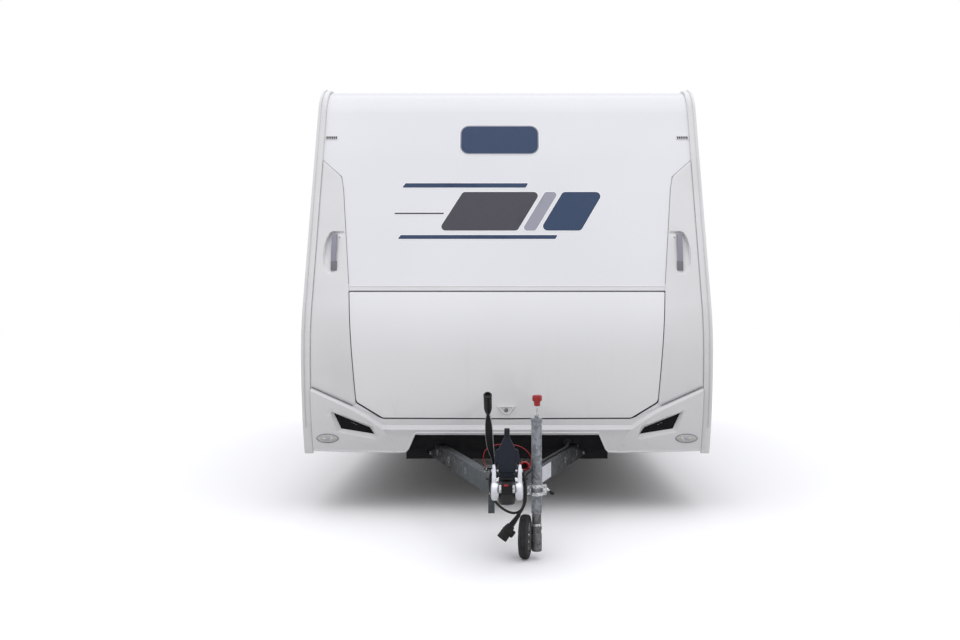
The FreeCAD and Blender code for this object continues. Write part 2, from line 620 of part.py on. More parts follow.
steady_legs = []
for nm, depth, d in STEADIES:
    for sname, sx in (("left", 1), ("right", -1)):
        yp = NY + depth
        L = D["steady_length"]
        a, b = yp, yp + d * L
        lo, hi = min(a - d * 16, b), max(a - d * 16, b)
        bar = box(sx * 728 - 18, lo, 308, 36, hi - lo, 24)
        foot = box(sx * 728 - 35, b - 50 if d > 0 else b, 302, 70, 50, 36)
        eye = cyl("X", sx * 728 - 30, yp, 320, 5.06, 60)
        steady_legs.append(cut(fuse([bar, foot]), eye, "%s_%s_steady" % (nm, sname)))

# ------------------------------------------------------------ overrun device
yt = NY + D["beam_tip_y"]
oh_tube = cut(cyl("Y", 0, yt - 15, "shaft_z", "housing_tube", 375), cyl("Y", 0, yt - 16, "shaft_z", "shaft_radius+0.6", 400))
oh_parts = [oh_tube, box(-45, yt - 10, 372, 90, 370, 10), box(-95, yt - 10, 372, 190, 80, 8),
            box(-110, yt + 270, 372, 220, 90, 8), box(-30, yt - 5, 380, 60, 60, 8),
            box(-47, "brake_pivot_y-30", 376, 6, 60, 50), box(-52, "brake_pivot_y-14", 388, 8, 28, 28)]
oh_bore = cyl("Y", 0, yt - 16, "shaft_z", "shaft_radius+0.6", 400)
overrun_housing = cut(fuse(oh_parts), oh_bore, "overrun_housing")

head_parts = [box(-40, "tow_y-20", 362, 80, 200, 74), cyl("Z", 0, "tow_y", 358, 46, 78)]
for sx in (1, -1):
    head_parts.append(cyl("X", 42 if sx > 0 else -68, "tow_y+10", 378, 40, 26))
    head_parts.append(box(46 if sx > 0 else -64, "tow_y+10", 378, 18, 65, 104))
    head_parts.append(box(38 if sx > 0 else -50, "tow_y-6", 378, 12, 36, 40))
shaft = cut(cyl("Y", 0, "tow_y+175", "shaft_z", "shaft_radius", 395), cyl("Y", 0, "tow_y+240", "shaft_z", "shaft_bore", 400))
ball = fuse([cyl("Z", 0, "tow_y", 340, "ball_radius", 50), cone("Z", 0, "tow_y", 390, "ball_radius", 10, 20)])
coupling_head = cut(fuse(head_parts + [shaft]), ball, "coupling_head")

folds, y = [], 0.0
steps = 8
pitch = 115.0 / steps
outer = []
for k in range(steps):
    outer += [(y + 0.1 * pitch, 38.0), (y + 0.5 * pitch, D["bellows_radius"]), (y + 0.9 * pitch, 38.0)]
    y += pitch
inner = [(p[0], p[1] - 5.0) for p in reversed(outer)]
bellows = turned("bellows", "YZ", [outer + inner], "H_Axis", (0, yt - 130, "shaft_z"))

damper = slab("XZ", [[(-9, 636), (9, 636), (11, 585), (44, 545), (54, 505), (54, 492), (38, 487), (36, 444),
                      (-36, 444), (-38, 487), (-54, 492), (-54, 505), (-44, 545), (-11, 585)]],
              "damper_pivot_y+9", 18)
pin = cyl("X", -45, "damper_pivot_y", "damper_pivot_z+4", 5, 90)
stabiliser_handle = fuse([damper, pin], "stabiliser_handle")

# handbrake lever, drawn in its own side plane and leaned forward
lean = math.radians(42)
by, bz = D["brake_pivot_y"], D["brake_pivot_z"]


def along(s, w):
    """Point s up the lever and w across it, in the lever's side view."""
    return (by - s * math.sin(lean) + w * math.cos(lean), bz + s * math.cos(lean) + w * math.sin(lean))


lever_low = slab("YZ", [[along(-16, -16), along(-16, 16), along(120, 16), along(120, -16)]], -66, 8)
lever_mid = slab("YZ", [[along(100, -15), along(100, 15), along(240, 13), along(240, -13)]], -74, 12)
lever_top = slab("YZ", [[along(225, -13), along(225, 13), along(395, 10), along(395, -10)]], -86, 16)
grip_dir = V(0, -math.sin(lean), math.cos(lean))
gp = along(380, 0)
grip = doc.addObject("Part::Cylinder", fresh("Grip"))
grip.Radius, grip.Height = 19, 140
grip.Placement = Placement(V(-84, gp[0], gp[1]), Rotation(V(0, 0, 1), grip_dir))
brake_pin = cyl("X", -58.5, "brake_pivot_y", "brake_pivot_z", 9, 6)
handbrake_lever = fuse([lever_low, lever_mid, lever_top, grip, brake_pin], "handbrake_lever")

# ------------------------------------------------------------ jockey wheel
jt = cut(cyl("Z", "jockey_x", "jockey_y", "jockey_low", "jockey_radius", "jockey_top-jockey_low"),
         cyl("Z", "jockey_x", "jockey_y", "jockey_low-1", "jockey_bore", "jockey_top-jockey_low-7"))
jockey_tube = label(jt, "jockey_tube")
crank = [cyl("Z", "jockey_x", "jockey_y", "jockey_top", 7, 22), box("jockey_x-8", "jockey_y-78", "jockey_top+16", 16, 86, 6),
         cyl("Z", "jockey_x", "jockey_y-70", "jockey_top+20", 6, 45)]
jockey_crank = fuse(crank, "jockey_crank")
crank_knob = fuse([cyl("Z", "jockey_x", "jockey_y-70", "jockey_top+65", 13, 20),
                   cyl("Z", "jockey_x", "jockey_y-70", "jockey_top+84", 22, 32)], "crank_knob")
clamp_outer = fuse([cyl("Z", "jockey_x", "jockey_y", 290, 36, 55), box(72, "jockey_y-20", 296, 50, 40, 44),
                    box(140, "jockey_y-17", 292, 40, 34, 50)])
clamp_hole = cyl("Z", "jockey_x", "jockey_y", 280, "jockey_radius+0.5", 90)
screw = fuse([cyl("X", 180, "jockey_y", 317, 6, 18), box(186, "jockey_y-30", 312, 8, 60, 10)])
beam_trim = slab("XY", [[(47.15, NY - 1035), (58, NY - 1000), (101.4, NY - 860), (40, NY - 860)]], 200, 250)
jockey_clamp = fuse([cut(cut(clamp_outer, clamp_hole), beam_trim), screw], "jockey_clamp")
jockey_leg = cyl("Z", "jockey_x", "jockey_y", 150, "leg_radius", 400, "jockey_leg")
wz, wx, ww = D["jockey_wheel_radius"], D["jockey_wheel_x"], D["jockey_wheel_width"]
fork_pin = cyl("X", 0, 0, "jockey_wheel_radius", 7, 70)
# the castor stands a little turned about the tube
yaw = math.radians(D["jockey_yaw"])
jx, jy = D["jockey_x"], D["jockey_y"]
wx0 = jx + (wx - jx) * math.cos(yaw)
wy0 = jy + (wx - jx) * math.sin(yaw)
fork_pin.Placement = Placement(V(jx + (wx - 30 - jx) * math.cos(yaw), jy + (wx - 30 - jx) * math.sin(yaw), wz),
                               Rotation(V(0, 0, 1), D["jockey_yaw"]).multiply(TURN["X"]))
for ax in "xyz":
    fork_pin.setExpression("Placement.Base." + ax, None)
fork_pin.Placement = Placement(V(jx + (wx - 30 - jx) * math.cos(yaw), jy + (wx - 30 - jx) * math.sin(yaw), wz),
                               Rotation(V(0, 0, 1), D["jockey_yaw"]).multiply(TURN["X"]))
jockey_fork = fuse([cyl("Z", "jockey_x", "jockey_y", 36, "jockey_radius", 114), fork_pin], "jockey_fork")
JW = [(-23, 60), (-23, 90), (-15, 99), (-6, 100), (6, 100), (15, 99), (23, 90), (23, 60), (8, 52),
      (8, 26), (23, 22), (23, 7.3), (-23, 7.3), (-23, 22), (-8, 26), (-8, 52)]
jockey_wheel = turned("jockey_wheel", "XZ", [JW], "H_Axis")
jockey_wheel.Placement = Placement(V(wx0, wy0, wz), Rotation(V(0, 0, 1), D["jockey_yaw"]))

# ------------------------------------------------------------ furniture
b = D["board_thick"]
fl = D["floor_high"]
units = [
    # bed base
    [box(-1100, NY + 515, 765, 2200, 1175, "board_thick"), box(-1100, NY + 1675, "floor_high", 2200, "board_thick", 350)],
    # kitchen unit, left of the aisle
    [box(600, NY + 1758, 1270, 500, 616, 30), box(620, NY + 1760, "floor_high", "board_thick", 612, 856),
     box(620, NY + 1760, "floor_high", 478, "board_thick", 856), box(620, NY + 2357, "floor_high", 478, "board_thick", 856)],
    # washroom, right of the aisle and over the wheel
    [box(-515, NY + 2372, "floor_high", "board_thick", 820, 1800), box(-1100, NY + 2372, "floor_high", 590, "board_thick", 1800),
     box(-1100, NY + 3177, "floor_high", 590, "board_thick", 1800), box(-1100, NY + 2372, 2215, 600, 820, "board_thick")],
    # benches
    [box(600, NY + 2380, 720, 500, 2510, "board_thick"), box(600, NY + 2380, "floor_high", "board_thick", 2510, 305),
     box(600, NY + 2380, "floor_high", 500, 12, 305)],
    [box(-1100, NY + 3196, 720, 500, 1694, "board_thick"), box(-615, NY + 3196, "floor_high", "board_thick", 1694, 305)],
    [box(-596, NY + 4400, 720, 1192, 490, "board_thick"), box(-596, NY + 4400, "floor_high", 1192, "board_thick", 305)],
]
furniture = fuse([fuse(u) for u in units], "furniture")
soft = [box(-1090, NY + 520, 780, 2180, 1160, 150), box(606, NY + 2400, 735, 488, 2480, 120),
        box(-1094, NY + 3204, 735, 488, 1676, 120), box(-590, NY + 4406, 735, 1180, 474, 120)]
cushions = fuse(soft, "cushions")
dinette_table = fuse([box(-330, NY + 3500, 1120, 660, 800, 25), cyl("Z", 0, NY + 3900, "floor_high+8", 30, 700),
                      cyl("Z", 0, NY + 3900, "floor_high", 160, 10)], "dinette_table")

# ------------------------------------------------------------ cables
gy = NY + nose(390) + 3
cable_gland = fuse([cyl("Y", 342, -1744, 390, 16, gy + 1744), cyl("Y", 342, -1762, 390, 9, 20)], "cable_gland")
PLUG_ROUTE = [
    # x, y, z of the corners of the lead from the gland to the plug
    (342, -1762, 390), (341, -1838, 387), (306, -1930, 378), (275, -2022, 379), (249, -2120, 378),
    (211, -2222, 379), (186, -2322, 378), (153, -2420, 379), (132, -2515, 379), (110, -2600, 380),
    (92, -2680, 387), (84, -2764, 389), (80, -2846, 385), (79, -2888, 336), (77, -2912, 287),
    (64, -2924, 256), (36, -2931, 244), (2, -2932, 252), (-33, -2926, 274), (-62, -2914, 306),
    (-78, -2897, 350), (-77, -2878, 406), (-50, -2862, 458), (0, -2856, 486), (50, -2866, 462),
    (78, -2888, 406), (86, -2915, 340), (80, -2939, 278), (49, -2946, 237),
]
PULL_ROUTE = [
    # x, y, z of the corners of the pull cable from its anchor to the ring
    (-98, -2600, 384), (-107, -2600, 412), (-114, -2599, 446), (-102, -2598, 478), (-68, -2598, 496),
    (-22, -2599, 503), (27, -2600, 501), (70, -2602, 490), (103, -2604, 464), (121, -2605, 428),
    (106.5, -2604, 402),
]


def cable(points, r, name):
    """Tube along straight runs with tangent arcs at the corners."""
    p = [V(*q) for q in points]
    edges, here, radii = [], p[0], []
    for i in range(1, len(p) - 1):
        u, w = (p[i] - p[i - 1]), (p[i + 1] - p[i])
        lu, lw = u.Length, w.Length
        u, w = u / lu, w / lw
        turn = u.getAngle(w)
        tang = 0.45 * min(lu, lw)
        radius = tang / math.tan(turn / 2)
        radii.append(round(radius, 1))
        a, c = p[i] - u * tang, p[i] + w * tang
        bis = (w - u).normalize()
        centre = p[i] + bis * math.hypot(tang, radius)
        mid = centre - bis * radius
        edges.append(Part.LineSegment(here, a).toShape())
        edges.append(Part.Arc(a, mid, c).toShape())
        here = c
        if lw / lu > 2.01 or lu / lw > 2.01 or math.degrees(turn) > 90:
            print("uneven route", name, i, round(lu), round(lw), round(math.degrees(turn)))
    edges.append(Part.LineSegment(here, p[-1]).toShape())
    wire = Part.Wire(edges)
    ring_edge = Part.Circle(p[0], p[1] - p[0], r).toShape()
    tube = wire.makePipeShell([Part.Wire([ring_edge])], True, False)
    if tube.ShapeType != "Solid":
        tube = Part.Solid(tube) if tube.ShapeType == "Shell" else tube
    length = wire.Length
    print(name, "length", round(length, 1), "volume ratio", round(tube.Volume / (math.pi * r * r * length), 4))
    print("  radii", radii)
    o = doc.addObject("Part::Feature", fresh("Cable"))
    o.Shape = tube
    return label(o, name)


plug_cable = cable(PLUG_ROUTE, D["plug_cable_radius"], "plug_cable")
breakaway_cable = cable(PULL_ROUTE, D["pull_cable_radius"], "breakaway_cable")
pe, pd = V(*PLUG_ROUTE[-1]), (V(*PLUG_ROUTE[-1]) - V(*PLUG_ROUTE[-2])).normalize()
turn_plug = Rotation(V(0, 0, 1), pd)


def on_plug(kind, at, sizes):
    o = doc.addObject(kind, fresh("Plug"))
    for prop, item in sizes.items():
        setattr(o, prop, item)
    o.Placement = Placement(pe + pd * at, turn_plug)
    return o


trailer_plug = fuse([on_plug("Part::Cone", 0, {"Radius1": 8, "Radius2": 13, "Height": 50}),
                     on_plug("Part::Cone", 50, {"Radius1": 17, "Radius2": 23, "Height": 26}),
                     on_plug("Part::Cylinder", 76, {"Radius": 24, "Height": 50})], "trailer_plug")
ring_o = doc.addObject("Part::Torus", fresh("Ring"))
ring_o.Radius1, ring_o.Radius2 = 18, 6
ring_o.Placement = Placement(V(84, -2604, 398), Rotation(V(1, 0, 0), 90))
breakaway_ring = label(ring_o, "breakaway_ring")

# ------------------------------------------------------------ export
NODES = """floor_panel left_wall right_wall front_wall front_board roof_panel rear_wall edge_rails
corner_mouldings front_trims grab_handles front_bumper bumper_inserts front_lamps locker_tub side_skirts
wheel_housings windows door_frame rooflights rear_bumper rear_lamps chassis_frame drawbar_beams axle
overrun_housing jockey_tube jockey_crank crank_knob jockey_clamp furniture cushions dinette_table
cable_gland plug_cable trailer_plug breakaway_cable breakaway_ring bellows entrance_door door_window
locker_lid service_hatch left_tyre left_rim right_tyre right_rim coupling_head stabiliser_handle
handbrake_lever jockey_leg jockey_fork jockey_wheel front_left_steady front_right_steady
rear_left_steady rear_right_steady""".split()
doc.recompute()
bad = [o.Label for o in doc.Objects if "Invalid" in o.State or "Error" in o.State]
if bad:
    raise SystemExit("failed objects: %s" % bad)
found = {}
for name in NODES:
    hits = [o for o in doc.Objects if o.Label == name]
    if len(hits) != 1:
        raise SystemExit("label %s is on %d objects" % (name, len(hits)))
    shape = hits[0].Shape
    if shape.isNull() or not shape.isValid() or not shape.Solids:
        raise SystemExit("bad shape: " + name)
    found[name] = hits[0]
for name, o in found.items():
    o.Shape.exportStep("parts/%s.step" % name)
bb = None
for name, o in found.items():
    b1 = o.Shape.BoundBox
    bb = b1 if bb is None else bb.united(b1)
print(len(found), "parts", [round(v, 1) for v in (bb.XMin, bb.XMax, bb.YMin, bb.YMax, bb.ZMin, bb.ZMax)])
for name, o in found.items():
    b1 = o.Shape.BoundBox
    print("%-18s %d solids  x %7.1f %7.1f  y %7.1f %7.1f  z %7.1f %7.1f  vol %8.2f l" % (
        name, len(o.Shape.Solids), b1.XMin, b1.XMax, b1.YMin, b1.YMax, b1.ZMin, b1.ZMax, o.Shape.Volume / 1e6))
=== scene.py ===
import bpy
import bmesh
import math
import random
from mathutils import Vector, Matrix, geometry


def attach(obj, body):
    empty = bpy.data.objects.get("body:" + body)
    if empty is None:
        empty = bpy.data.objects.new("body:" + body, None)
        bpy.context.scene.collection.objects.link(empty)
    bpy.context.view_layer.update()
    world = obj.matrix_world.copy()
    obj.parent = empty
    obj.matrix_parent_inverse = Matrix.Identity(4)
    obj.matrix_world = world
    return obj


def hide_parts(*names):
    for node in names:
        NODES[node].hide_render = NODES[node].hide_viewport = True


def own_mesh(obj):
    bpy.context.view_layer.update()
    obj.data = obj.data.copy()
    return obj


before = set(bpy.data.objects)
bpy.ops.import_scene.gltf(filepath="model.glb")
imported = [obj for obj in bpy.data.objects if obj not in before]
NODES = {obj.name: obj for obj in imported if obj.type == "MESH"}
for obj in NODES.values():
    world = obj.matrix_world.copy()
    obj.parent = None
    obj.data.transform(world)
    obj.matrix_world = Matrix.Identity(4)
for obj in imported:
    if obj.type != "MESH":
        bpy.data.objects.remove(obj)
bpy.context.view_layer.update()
scene = bpy.context.scene
random.seed(7)

# ------------------------------------------------------------------ camera
cam_data = bpy.data.cameras.new("camera")
cam_data.sensor_width = 36.0
cam_data.lens = 35.55
cam_data.shift_x = -0.0281
cam_data.shift_y = -0.0125
cam_data.clip_end = 200.0
camera = bpy.data.objects.new("camera", cam_data)
camera.location = (0.0, -7.11, 1.15)
camera.rotation_euler = (math.radians(90), 0, 0)
scene.collection.objects.link(camera)
scene.camera = camera
scene.view_settings.view_transform = "Standard"

# ------------------------------------------------------------------- light
world = bpy.data.worlds.new("studio")
world.use_nodes = True
wt = world.node_tree
sky_dir = wt.nodes.new("ShaderNodeTexCoord")
sky_split = wt.nodes.new("ShaderNodeSeparateXYZ")
sky_map = wt.nodes.new("ShaderNodeMapRange")
wt.links.new(sky_dir.outputs["Generated"], sky_split.inputs[0])
wt.links.new(sky_split.outputs["Z"], sky_map.inputs["Value"])
sky_map.inputs["To Min"].default_value = 0.80
sky_map.inputs["To Max"].default_value = 1.25
wt.nodes["Background"].inputs[0].default_value = (0.982, 0.986, 1.025, 1)
wt.links.new(sky_map.outputs[0], wt.nodes["Background"].inputs[1])
scene.world = world


def area(name, loc, aim, size, power, color=(1, 1, 1)):
    d = bpy.data.lights.new(name, "AREA")
    d.shape = "RECTANGLE"
    d.size, d.size_y = size
    d.energy = power
    d.color = color
    o = bpy.data.objects.new(name, d)
    o.location = loc
    o.rotation_euler = (Vector(aim) - Vector(loc)).to_track_quat("-Z", "Y").to_euler()
    scene.collection.objects.link(o)
    o.visible_camera = False
    return o


area("top_softbox", (0, -1.0, 9.5), (0, 0.3, 0), (12, 12), 235)

# --------------------------------------------------------------- materials


class Nodes:
    """Small helper around one node tree."""

    def __init__(self, name):
        self.mat = bpy.data.materials.new(name)
        self.mat.use_nodes = True
        self.nt = self.mat.node_tree
        self.nt.nodes.clear()
        self.out = self.new("ShaderNodeOutputMaterial")
        self.bsdf = self.new("ShaderNodeBsdfPrincipled")
        self.link(self.bsdf.outputs[0], self.out.inputs[0])
        self.coord = self.new("ShaderNodeTexCoord").outputs["Object"]

    def new(self, kind, **props):
        n = self.nt.nodes.new(kind)
        for k, v in props.items():
            setattr(n, k, v)
        return n

    def link(self, a, b):
        self.nt.links.new(a, b)

    def mapped(self, scale, rot=(0, 0, 0)):
        n = self.new("ShaderNodeMapping")
        n.inputs["Scale"].default_value = scale if hasattr(scale, "__len__") else (scale,) * 3
        n.inputs["Rotation"].default_value = rot
        self.link(self.coord, n.inputs["Vector"])
        return n.outputs[0]

    def noise(self, scale, detail=3.0, rough=0.55, rot=(0, 0, 0), dist=0.0):
        n = self.new("ShaderNodeTexNoise")
        n.inputs["Scale"].default_value = 1.0
        n.inputs["Detail"].default_value = detail
        n.inputs["Roughness"].default_value = rough
        n.inputs["Distortion"].default_value = dist
        self.link(self.mapped(scale, rot), n.inputs["Vector"])
        return n.outputs["Fac"]

    def voronoi(self, scale, what="Color", feature="F1", rand=1.0):
        n = self.new("ShaderNodeTexVoronoi", feature=feature)
        n.inputs["Scale"].default_value = 1.0
        n.inputs["Randomness"].default_value = rand
        self.link(self.mapped(scale), n.inputs["Vector"])
        if what == "Color":
            s = self.new("ShaderNodeSeparateColor")
            self.link(n.outputs["Color"], s.inputs[0])
            return s.outputs[0]
        return n.outputs[what]

    def wave(self, scale, direction="X", dist=0.0, detail=2.0, profile="SIN", rot=(0, 0, 0)):
        n = self.new("ShaderNodeTexWave", wave_type="BANDS", bands_direction=direction, wave_profile=profile)
        n.inputs["Scale"].default_value = 1.0
        n.inputs["Distortion"].default_value = dist
        n.inputs["Detail"].default_value = detail
        self.link(self.mapped(scale, rot), n.inputs["Vector"])
        return n.outputs["Fac"]

    def axis(self, which):
        s = self.new("ShaderNodeSeparateXYZ")
        self.link(self.coord, s.inputs[0])
        return s.outputs["XYZ".index(which)]

    def span(self, value, lo, hi, out_lo=0.0, out_hi=1.0):
        n = self.new("ShaderNodeMapRange", interpolation_type="SMOOTHSTEP")
        for k, v in (("From Min", lo), ("From Max", hi), ("To Min", out_lo), ("To Max", out_hi)):
            n.inputs[k].default_value = v
        self.link(value, n.inputs["Value"])
        return n.outputs["Result"]

    def math(self, op, a, b):
        n = self.new("ShaderNodeMath", operation=op)
        for i, v in enumerate((a, b)):
            if hasattr(v, "node"):
                self.link(v, n.inputs[i])
            else:
                n.inputs[i].default_value = v
        return n.outputs[0]

    def mix(self, fac, a, b):
        n = self.new("ShaderNodeMix", data_type="RGBA")
        if hasattr(fac, "node"):
            self.link(fac, n.inputs["Factor"])
        else:
            n.inputs["Factor"].default_value = fac
        for sock, v in (("A", a), ("B", b)):
            s = [i for i in n.inputs if i.name == sock and i.type == "RGBA"][0]
            if hasattr(v, "node"):
                self.link(v, s)
            else:
                s.default_value = (*v, 1.0)
        return [o for o in n.outputs if o.type == "RGBA"][0]

    def bump(self, height, strength, distance, normal=None):
        n = self.new("ShaderNodeBump")
        n.inputs["Strength"].default_value = strength
        n.inputs["Distance"].default_value = distance
        self.link(height, n.inputs["Height"])
        if normal is not None:
            self.link(normal, n.inputs["Normal"])
        return n.outputs[0]

    def finish(self, color=None, rough=None, normal=None, **fixed):
        b = self.bsdf
        for value, sock in ((color, "Base Color"), (rough, "Roughness")):
            if hasattr(value, "node"):
                self.link(value, b.inputs[sock])
            elif value is not None:
                b.inputs[sock].default_value = (*value, 1.0) if sock == "Base Color" else value
        if normal is not None:
            self.link(normal, b.inputs["Normal"])
        names = {"metallic": "Metallic", "coat": "Coat Weight", "coat_rough": "Coat Roughness", "spec": "Specular IOR Level",
                 "ior": "IOR", "trans": "Transmission Weight", "sheen": "Sheen Weight", "sheen_rough": "Sheen Roughness",
                 "alpha": "Alpha"}
        for k, v in fixed.items():
            b.inputs[names[k]].default_value = v
        return self.mat


def glossy_white(name, tint=(0.76, 0.765, 0.785), rough=0.22, hammered=False, grime=1.0):
    n = Nodes(name)
    cloud = n.noise(0.9, 2.0)
    color = n.mix(n.span(cloud, 0.35, 0.7), tint, tuple(c * 0.965 for c in tint))
    # faint rain streaks and road film, stronger towards the lower edge
    streak = n.noise((26, 26, 0.7), 4.0)
    low = n.span(n.axis("Z"), 1.3, 0.3)
    dirt = n.math("MULTIPLY", n.span(streak, 0.56, 0.8), low)
    color = n.mix(n.math("MULTIPLY", dirt, 0.16 * grime), color, (0.46, 0.43, 0.38))
    # darker band over the roof curve, between z 2.36 and 2.50
    color = n.mix(n.math("MULTIPLY", n.span(n.axis("Z"), 2.36, 2.50), 0.85), color, tuple(c * 0.74 for c in tint))
    speck = n.math("MULTIPLY", n.span(n.noise(190, 1.0), 0.70, 0.78), n.math("MULTIPLY", low, 0.30 * grime))
    color = n.mix(speck, color, (0.35, 0.31, 0.26))
    r = n.span(n.noise(3.2, 2.0), 0.3, 0.75, rough - 0.01, rough + 0.02)
    peel = n.bump(n.noise(150, 2.0), 0.05, 0.0006)
    if hammered:
        peel = n.bump(n.voronoi((62, 48, 75), "Distance", "SMOOTH_F1"), 0.22, 0.0012, peel)
    wavy = n.bump(n.noise(1.3, 1.0), 0.07, 0.008, peel)
    return n.finish(color, r, wavy, coat=0.5, coat_rough=0.06, spec=0.45)


def moulded_white(name, tint=(0.700, 0.700, 0.702), rough=0.34):
    n = Nodes(name)
    color = n.mix(n.span(n.noise(2.4, 3.0), 0.35, 0.7), tint, tuple(c * 0.955 for c in tint))
    low = n.span(n.axis("Z"), 0.75, 0.3)
    splash = n.math("MULTIPLY", n.span(n.noise(34, 5.0, 0.7), 0.55, 0.72), low)
    color = n.mix(n.math("MULTIPLY", splash, 0.18), color, (0.42, 0.38, 0.33))
    r = n.span(n.noise(9, 3.0), 0.3, 0.7, rough - 0.06, rough + 0.09)
    nb = n.bump(n.noise(420, 2.0), 0.10, 0.0006)
    nb = n.bump(n.noise(2.2, 1.0), 0.12, 0.008, nb)
    return n.finish(color, r, nb, coat=0.18, coat_rough=0.18, spec=0.45)


def plastic(name, tint, rough=0.45, grain=900, amount=0.16, wear=0.10, spec=0.4, coat=0.0):
    n = Nodes(name)
    pale = tuple(min(1.0, c * 1.5 + 0.02) for c in tint)
    color = n.mix(n.math("MULTIPLY", n.span(n.noise(22, 5.0, 0.7), 0.45, 0.8), wear * 2), tint, pale)
    color = n.mix(n.math("MULTIPLY", n.span(n.noise(160, 2.0), 0.66, 0.8), wear), color, pale)
    r = n.span(n.noise(30, 3.0), 0.3, 0.7, rough - 0.07, rough + 0.1)
    nb = n.bump(n.noise(grain, 2.0), amount, 0.0008)
    return n.finish(color, r, nb, spec=spec, coat=coat, coat_rough=0.15)


def zinc(name, tint=(0.40, 0.42, 0.435), rough=0.5, scale=70, dull=1.0, stain=0.25, body_shade=None):
    n = Nodes(name)
    cells = n.voronoi(scale, "Color")
    cells2 = n.voronoi(scale * 0.42, "Color")
    bright = tuple(min(1, c * 1.35) for c in tint)
    dark = tuple(c * 0.66 for c in tint)
    color = n.mix(n.span(cells, 0.1, 0.9), dark, bright)
    color = n.mix(n.math("MULTIPLY", n.span(cells2, 0.3, 0.9), 0.5), color, tint)
    blot = n.span(n.noise(12, 5.0, 0.65), 0.42, 0.68)
    color = n.mix(n.math("MULTIPLY", blot, 0.55 * dull), color, tuple(c * 0.8 for c in tint))
    rust = n.math("MULTIPLY", n.span(n.noise(55, 4.0, 0.7), 0.66, 0.8), stain)
    color = n.mix(rust, color, (0.30, 0.22, 0.16))
    if body_shade:
        # painted shade: the colour darkens towards the body, standing in for the shade under it
        color = n.mix(n.span(n.axis("Y"), body_shade[0], body_shade[1]), color, tuple(c * 0.20 for c in tint))
    r = n.span(cells, 0.0, 1.0, rough - 0.13, rough + 0.12)
    nb = n.bump(n.noise(240, 3.0), 0.16, 0.0008)
    nb = n.bump(cells, 0.10, 0.0006, nb)
    return n.finish(color, r, nb, metallic=0.72, spec=0.5)


def metal(name, tint, rough=0.3, brushed=None, metallic=1.0, coat=0.0, stain=0.0):
    n = Nodes(name)
    color = n.mix(n.span(n.noise(40, 4.0), 0.35, 0.7), tint, tuple(c * 0.86 for c in tint))
    if stain:
        color = n.mix(n.math("MULTIPLY", n.span(n.noise(28, 5.0, 0.7), 0.56, 0.75), stain), color, tuple(c * 0.35 for c in tint))
    s = brushed or 60
    r = n.span(n.noise(s, 3.0), 0.25, 0.75, max(0.05, rough - 0.1), rough + 0.12)
    nb = n.bump(n.noise(s if brushed else 320, 3.0), 0.10, 0.0005)
    return n.finish(color, r, nb, metallic=metallic, coat=coat, coat_rough=0.08)


def rubber(name, tint=(0.028, 0.028, 0.030), rough=0.72, dusty=0.35):
    n = Nodes(name)
    dust = n.span(n.noise(14, 5.0, 0.7), 0.42, 0.75)
    color = n.mix(n.math("MULTIPLY", dust, dusty * 0.4), tint, (0.13, 0.125, 0.12))
    r = n.span(n.noise(50, 3.0), 0.3, 0.7, rough - 0.1, rough + 0.12)
    nb = n.bump(n.noise(700, 3.0), 0.22, 0.0007)
    return n.finish(color, r, nb, spec=0.35)


def pane(name, tint=(0.10, 0.11, 0.12), trans=0.9, rough=0.04):
    n = Nodes(name)
    color = n.mix(n.span(n.noise(2.0, 2.0), 0.3, 0.7), tint, tuple(c * 0.85 for c in tint))
    r = n.span(n.noise(60, 4.0), 0.4, 0.8, rough, rough + 0.05)
    nb = n.bump(n.noise(3.5, 1.0), 0.10, 0.004)
    return n.finish(color, r, nb, trans=trans, ior=1.49, coat=0.3, coat_rough=0.03)


def wood(name, light=(0.56, 0.43, 0.29), dark=(0.36, 0.25, 0.15), rough=0.42):
    n = Nodes(name)
    grain = n.noise((3, 3, 60), 5.0, 0.6, dist=0.6)
    rings = n.wave((5, 5, 26), "Z", 6.0, 3.0)
    color = n.mix(n.span(grain, 0.3, 0.7), light, dark)
    color = n.mix(n.math("MULTIPLY", rings, 0.3), color, tuple(c * 0.8 for c in dark))
    r = n.span(grain, 0.2, 0.8, rough - 0.08, rough + 0.1)
    return n.finish(color, r, n.bump(grain, 0.12, 0.0006), coat=0.15, coat_rough=0.2)


def woven(name, tint=(0.33, 0.32, 0.31), thread=(0.47, 0.46, 0.44), pitch=700):
    n = Nodes(name)
    a = n.wave(pitch / 6.28, "X")
    b = n.wave(pitch / 6.28, "Y")
    c = n.wave(pitch / 6.28, "Z")
    weave = n.math("MULTIPLY", n.math("MAXIMUM", a, b), n.math("MAXIMUM", b, c))
    color = n.mix(n.span(weave, 0.2, 0.9), tuple(x * 0.6 for x in tint), thread)
    color = n.mix(n.math("MULTIPLY", n.span(n.noise(8, 4.0), 0.4, 0.7), 0.5), color, tint)
    nb = n.bump(weave, 0.35, 0.0008)
    nb = n.bump(n.noise(26, 4.0), 0.25, 0.004, nb)
    return n.finish(color, 0.9, nb, sheen=0.35, sheen_rough=0.4)


def lens(name, tint, pitch=(320, 320, 320), trans=0.35, rough=0.12):
    n = Nodes(name)
    bars = n.math("MAXIMUM", n.wave(tuple(p / 6.28 for p in pitch), "X"), n.wave(tuple(p / 6.28 for p in pitch), "Z"))
    color = n.mix(n.span(bars, 0.3, 1.0), tuple(c * 0.72 for c in tint), tint)
    r = n.span(n.noise(80, 2.0), 0.3, 0.7, rough, rough + 0.06)
    return n.finish(color, r, n.bump(bars, 0.5, 0.0012), trans=trans, ior=1.49, coat=0.8, coat_rough=0.03)


